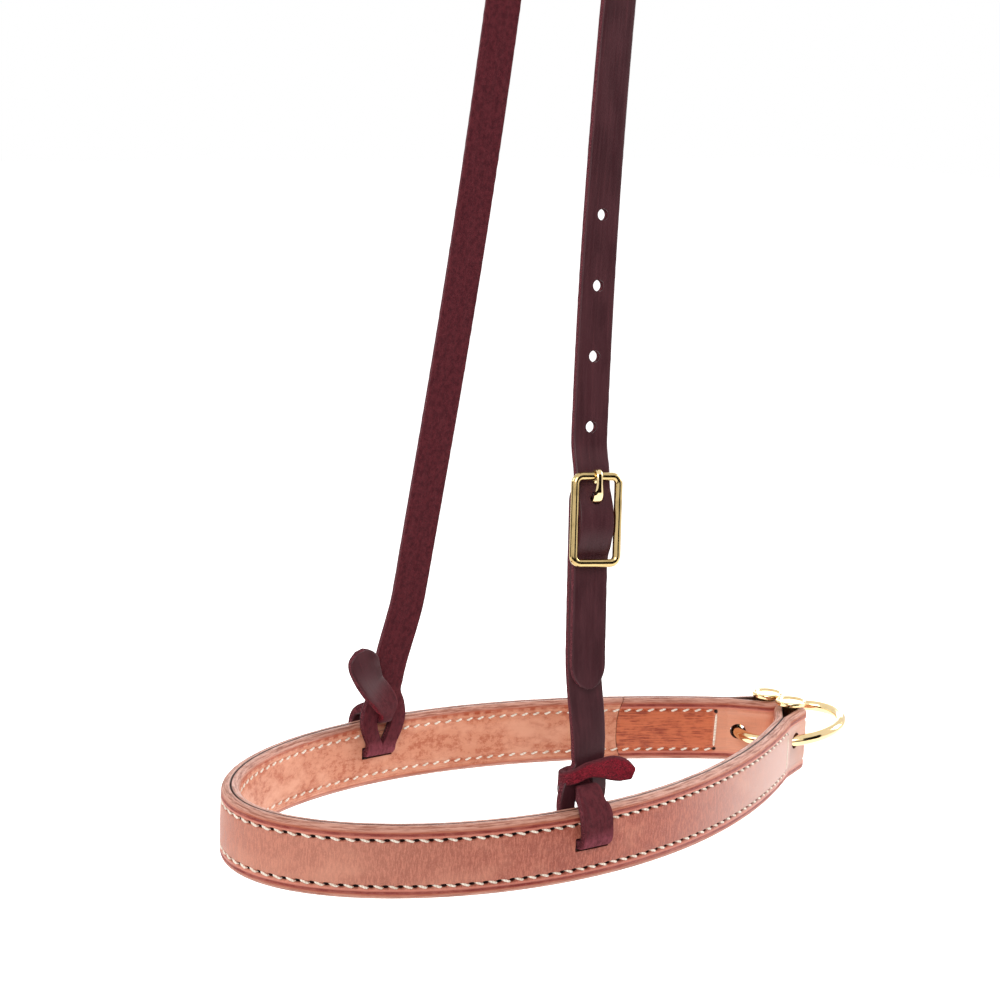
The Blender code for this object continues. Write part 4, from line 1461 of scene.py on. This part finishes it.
def tipRows(side, tip, reach, layer, upward):
    # Rows along a rounded end, from the tip inwards
    found = []
    for turn in quarterTurn(hanger["turnParts"])[1:]:
        height = tip + upward * reach * (1 - math.cos(turn))
        found.append(legRow(side, height, layer, hanger["width"] / 2 * math.sin(turn)))
    return found


def bulgeAt(height):
    # The front strap stands forward between the buckle's bars
    middle = buckle["height"] - hanger["bulgeDrop"]
    share = (height - middle) / (buckle["span"] / 2 - hanger["bulgeInset"])
    return hanger["bulge"] * max(0.0, 1 - share * share) ** 1.5


def crownArch():
    found = []
    for side in (1, -1):
        for turn in quarterTurn(hanger["turnParts"], back=side < 0):
            x = hanger["crownFlat"] / 2 + crownRadius * math.cos(turn)
            z = legTop + crownRadius * math.sin(turn) - band["drop"]
            found.append(routeRow((side * x, 0, z), legAcross(side, legTop)))
    return found


def footRows(side):
    top = knots["slitMiddle"] + knots["slitLength"] / 2
    found = [legRow(side, footTop), legRow(side, top + knots["footEase"])]
    for share in np.linspace(0, 1, knots["slitParts"] + 1):
        found.append(legRow(side, top - knots["slitLength"] * share))
    return found


def crownRows():
    tip = tongueHole - hanger["billetReach"]
    easeFrom = tongueHole + hanger["cheekEndReach"] + band["gap"]
    rows = tipRows(1, tip, hanger["billetPoint"], frontLayer, 1)
    for height in heights(tip + hanger["billetPoint"], easeFrom, hanger["bulgeStep"])[1:]:
        rows.append(legRow(1, height, frontLayer + bulgeAt(height)))
    parts = hanger["easeParts"]
    for i in range(1, parts):
        layer = frontLayer * (1 - eased(i / parts))
        rows.append(legRow(1, easeFrom + hanger["easeOut"] * i / parts, layer))
    for height in heights(easeFrom + hanger["easeOut"], legTop, hanger["legStep"])[:-1]:
        rows.append(legRow(1, height))
    rows += crownArch()
    for height in reversed(heights(footTop, legTop, hanger["legStep"])[1:-1]):
        rows.append(legRow(-1, height))
    return rows + footRows(-1) + slotTurn(-1) + tailRows(-1, offSideTail())


def cheekRows():
    end = tongueHole + hanger["cheekEndReach"]
    rows = tipRows(1, end, hanger["width"] / 2, 0, -1)
    for height in reversed(heights(footTop, end - hanger["width"] / 2, hanger["cheekStep"])[1:-1]):
        rows.append(legRow(1, height))
    return rows + footRows(1) + slotTurn(1) + tailRows(1, buckleSideTail())


def buckleMatrix(height, out, rise=0.0):
    across, up, outward = legFrame(1, height)
    turn = Matrix((across, up, outward)).transposed().to_4x4()
    return Matrix.Translation(legPoint(1, height) + out * outward + rise * up) @ turn


def strapHoles(name):
    radius = hanger["holeRadius"]
    outline = [(radius * x, radius * y) for x, y in circle(hanger["holeParts"])]
    prisms = []
    for i in range(hanger["spareHoles"] + 1):
        place = buckleMatrix(tongueHole + i * hanger["holePitch"], frontLayer / 2)
        prisms.append((outline, place, hanger["cutLayers"] * hanger["thickness"]))
    return prismCutter(name, prisms)


latigo = {
    "grain": linear(72, 36, 42),
    "grainDeep": linear(60, 27, 33),
    "flesh": linear(96, 36, 44),
    "fleshDeep": linear(74, 23, 32),
    "raw": linear(146, 26, 44),
    "rawDeep": linear(70, 12, 24),
    "cut": linear(128, 62, 70),
    "cutDeep": linear(66, 20, 30),
    "worn": linear(150, 72, 86),
    "specular": 0.22,
    "fleshFrom": (0.5, 0.9),
    "rubbed": (0.3, 0.7, 0.25, 0.75),
    "rawThin": 0.2,
    "rawFlesh": 0.85,
    "cutEdge": (0.5, 0.8, 1, 0),
    "roughFrom": (0.3, 0.7),
    "roughness": (0.34, 0.5),
    "nappedRoughness": 0.85,
    "depths": {"streaks": 0.05, "pores": 0.02, "fuzz": 0.35},
}

latigoNoises = {
    "streaks": ((18, 0.8, 2.0), 4.0, 0.6),
    "cloud": ((20, 7, 6), 3.0, 0.55),
    "nap": ((0.55, 0.4, 0.5), 4.0, 0.75),
    "mottle": ((2.2, 1.6, 1.6), 4.0, 0.7),
    "pores": ((0.3, 0.22, 0.3), 2.0, 0.55),
}


def latigoLook():
    made, tree = newLook("burgundyLatigo", latigo["specular"])
    side, raw, worn = parted(tree, stored(tree, "sides"))
    spots = speckles(tree, stored(tree, "strapPlace"), latigoNoises)
    nap = spots["nap"]
    mottle = spots["mottle"]
    grain = layered(tree, latigo["grainDeep"], (
        (spots["cloud"], 0.35, 0.65, 0, 1, latigo["grain"]),
        (spots["streaks"], 0.5, 0.75, 0, 0.22, latigo["flesh"]),
    ))
    flesh = layered(tree, latigo["fleshDeep"], ((mottle, 0.35, 0.62, 0, 1, latigo["flesh"]),))
    suede = layered(tree, latigo["rawDeep"], (
        (nap, 0.36, 0.6, 0, 1, latigo["raw"]),
        (mottle, 0.45, 0.66, 0, 0.6, latigo["rawDeep"]),
    ))
    fleshSide = remap(tree, side, *latigo["fleshFrom"])
    colour = blended(tree, fleshSide, grain, flesh)
    rubbed = calc(tree, "MULTIPLY", worn, remap(tree, mottle, *latigo["rubbed"]))
    colour = blended(tree, rubbed, colour, latigo["worn"])
    thinned = calc(tree, "MULTIPLY", raw, latigo["rawThin"])
    depth = calc(tree, "SUBTRACT", calc(tree, "ABSOLUTE", side), thinned)
    edge = remap(tree, depth, *latigo["cutEdge"])
    cut = layered(tree, latigo["cutDeep"], ((nap, 0.42, 0.66, 0, 1, latigo["cut"]),))
    cut = blended(tree, raw, cut, suede)
    colour = blended(tree, calc(tree, "MULTIPLY", raw, latigo["rawFlesh"]), colour, flesh)
    colour = blended(tree, edge, colour, cut)
    low, high = latigo["roughness"]
    napped = calc(tree, "MAXIMUM", calc(tree, "MAXIMUM", edge, raw), fleshSide)
    rough = blended(tree, napped, (low,) * 3, (latigo["nappedRoughness"],) * 3)
    rougher = remap(tree, spots["streaks"], *latigo["roughFrom"], 0, high - low)
    rough = calc(tree, "ADD", rough, rougher)
    spots["fuzz"] = calc(tree, "MULTIPLY", nap, napped)
    return finishLook(made, colour, rough, spots, latigo["depths"])


# Buckle


def buckleFramePiece(look):
    # A cast frame of round wire, a little fuller than the drawn wire
    wire = buckle["wire"]
    cast = wire * buckle["castFullness"]
    halfWidth = hanger["width"] / 2 + buckle["sideGap"] + wire
    place = buckleMatrix(buckle["height"], bucklePlane)
    loops = []
    for x, y in circle(buckle["parts"], 0.5):
        out = cast * x
        halfHeight = buckle["span"] / 2 + out
        loop = roundedBox(halfWidth + out, halfHeight, buckle["corner"] + out, buckle["cornerParts"])
        loops.append([place @ Vector((*spot, cast * y)) for spot in loop])
    points = [point for section in zip(*loops) for point in section]
    faces = gridFaces(len(loops[0]), buckle["parts"], closed=True)
    piece = pieceFrom("buckleFrame", points, faces, {}, [look])
    settle(piece, "hanger", "brass", "buckle_frame")


def tongueLine():
    # From the end of the curl round the bar and along the shank to the dipped tip
    line = []
    parts = tongue["curlParts"]
    for i in range(parts + 1):
        turn = math.radians(tongue["curlTurn"]) * (1 - i / parts)
        line.append((tongueCurl * math.cos(turn), tongueCurl * math.sin(turn)))
    reach = tongue["reach"]
    line += [(out * tongueCurl, -down * reach) for out, down in tongue["shank"]]
    for i in range(1, tongue["dipParts"] + 1):
        turn = math.radians(tongue["dip"]) * i / tongue["dipParts"]
        line.append((-reach * math.sin(turn), -reach * math.cos(turn)))
    return line


def squared(value):
    # Pushes a point of a circle out towards a rounded square
    return math.copysign(abs(value) ** tongue["squareness"], value)


def buckleTonguePiece(look):
    route, runs = denseRoute([[*spot] + [0] * 8 for spot in tongueLine()], tongue["step"])
    shares = runs / runs[-1]
    halves = np.interp(shares, *zip(*tongue["halfWidths"]))
    line = route[:, :2]
    heading = np.gradient(line, axis=0)
    heading /= np.linalg.norm(heading, axis=1)[:, None]
    place = buckleMatrix(buckle["height"], bucklePlane, buckle["span"] / 2)
    points = []
    for i, (out, up) in enumerate(line):
        thick = 0.5 * tongue["thickness"] * (1 - tongue["taper"] * shares[i])
        for x, y in circle(tongue["parts"], 0.5):
            lift = thick * squared(y)
            spot = (halves[i] * squared(x), up - lift * heading[i, 0], out + lift * heading[i, 1])
            points.append(place @ Vector(spot))
    piece = pieceFrom("buckleTongue", points, gridFaces(len(line), tongue["parts"]), {}, [look])
    settle(piece, "buckle_tongue", "brass", "buckle_tongue")


# Making everything


def sewnStrapPieces():
    cut = cutLeatherLook()
    line, runs = outerLine()
    total = len(line)
    turned = np.abs(np.arange(total) - (total - 1) / 2)
    front = turned < np.argmax(runs[total // 2:] >= postRun) + band["frontStations"]
    outer = layerPiece("sewnStrapOuter", line, runs, [russetLook(), cut], front)
    cutPiece(outer, [cheekSlots("outerCheekSlots"), ringSlot("ringSlots")], ("strapPlace", "seamPlace"))
    settle(outer, "noseband", "russet_leather", "noseband_outer")
    line, runs = linerLine()
    inner = layerPiece("sewnStrapLiner", line, runs, [liningLook(), cut], np.zeros(len(line), bool))
    cutPiece(inner, [cheekSlots("linerCheekSlots")], ("strapPlace", "seamPlace"))
    settle(inner, "noseband", "russet_lining", "noseband_liner")


def stitchPieces():
    look = linenLook()
    settle(stitchPiece("outerStitches", 1, look), "noseband", "linen_thread", "outer_thread")
    settle(stitchPiece("innerStitches", -1, look), "noseband", "linen_thread", "inner_thread")


def hangerPieces():
    look = latigoLook()
    crown = latigoPiece("crownLatigo", crownRows(), fleshSide=1, look=look, seed=1.0)
    cutPiece(crown, [strapHoles("crownHoles")], ("strapPlace", "sides"))
    settle(crown, "hanger", "burgundy_latigo", "crown_strap")
    cheekStrap = latigoPiece("cheekLatigo", cheekRows(), fleshSide=-1, look=look, seed=5.0)
    cutPiece(cheekStrap, [strapHoles("cheekHoles")], ("strapPlace", "sides"))
    settle(cheekStrap, "hanger", "burgundy_latigo", "cheek_strap")


sewnStrapPieces()
print("sewn strap made")
stitchPieces()
print("stitches made")
polished = brassLook("polishedBrass", brassTones["wear"], brassTones["bright"], brassTones["deep"])
postPieces(1, "near", polished)
postPieces(-1, "far", polished)
ringPiece(polished)
print("posts and ring made")
hangerPieces()
print("hanger made")
cast = brassLook("castBrass", brassTones["castWear"], brassTones["cast"], brassTones["castDeep"])
buckleFramePiece(cast)
buckleTonguePiece(polished)
print("buckle made")
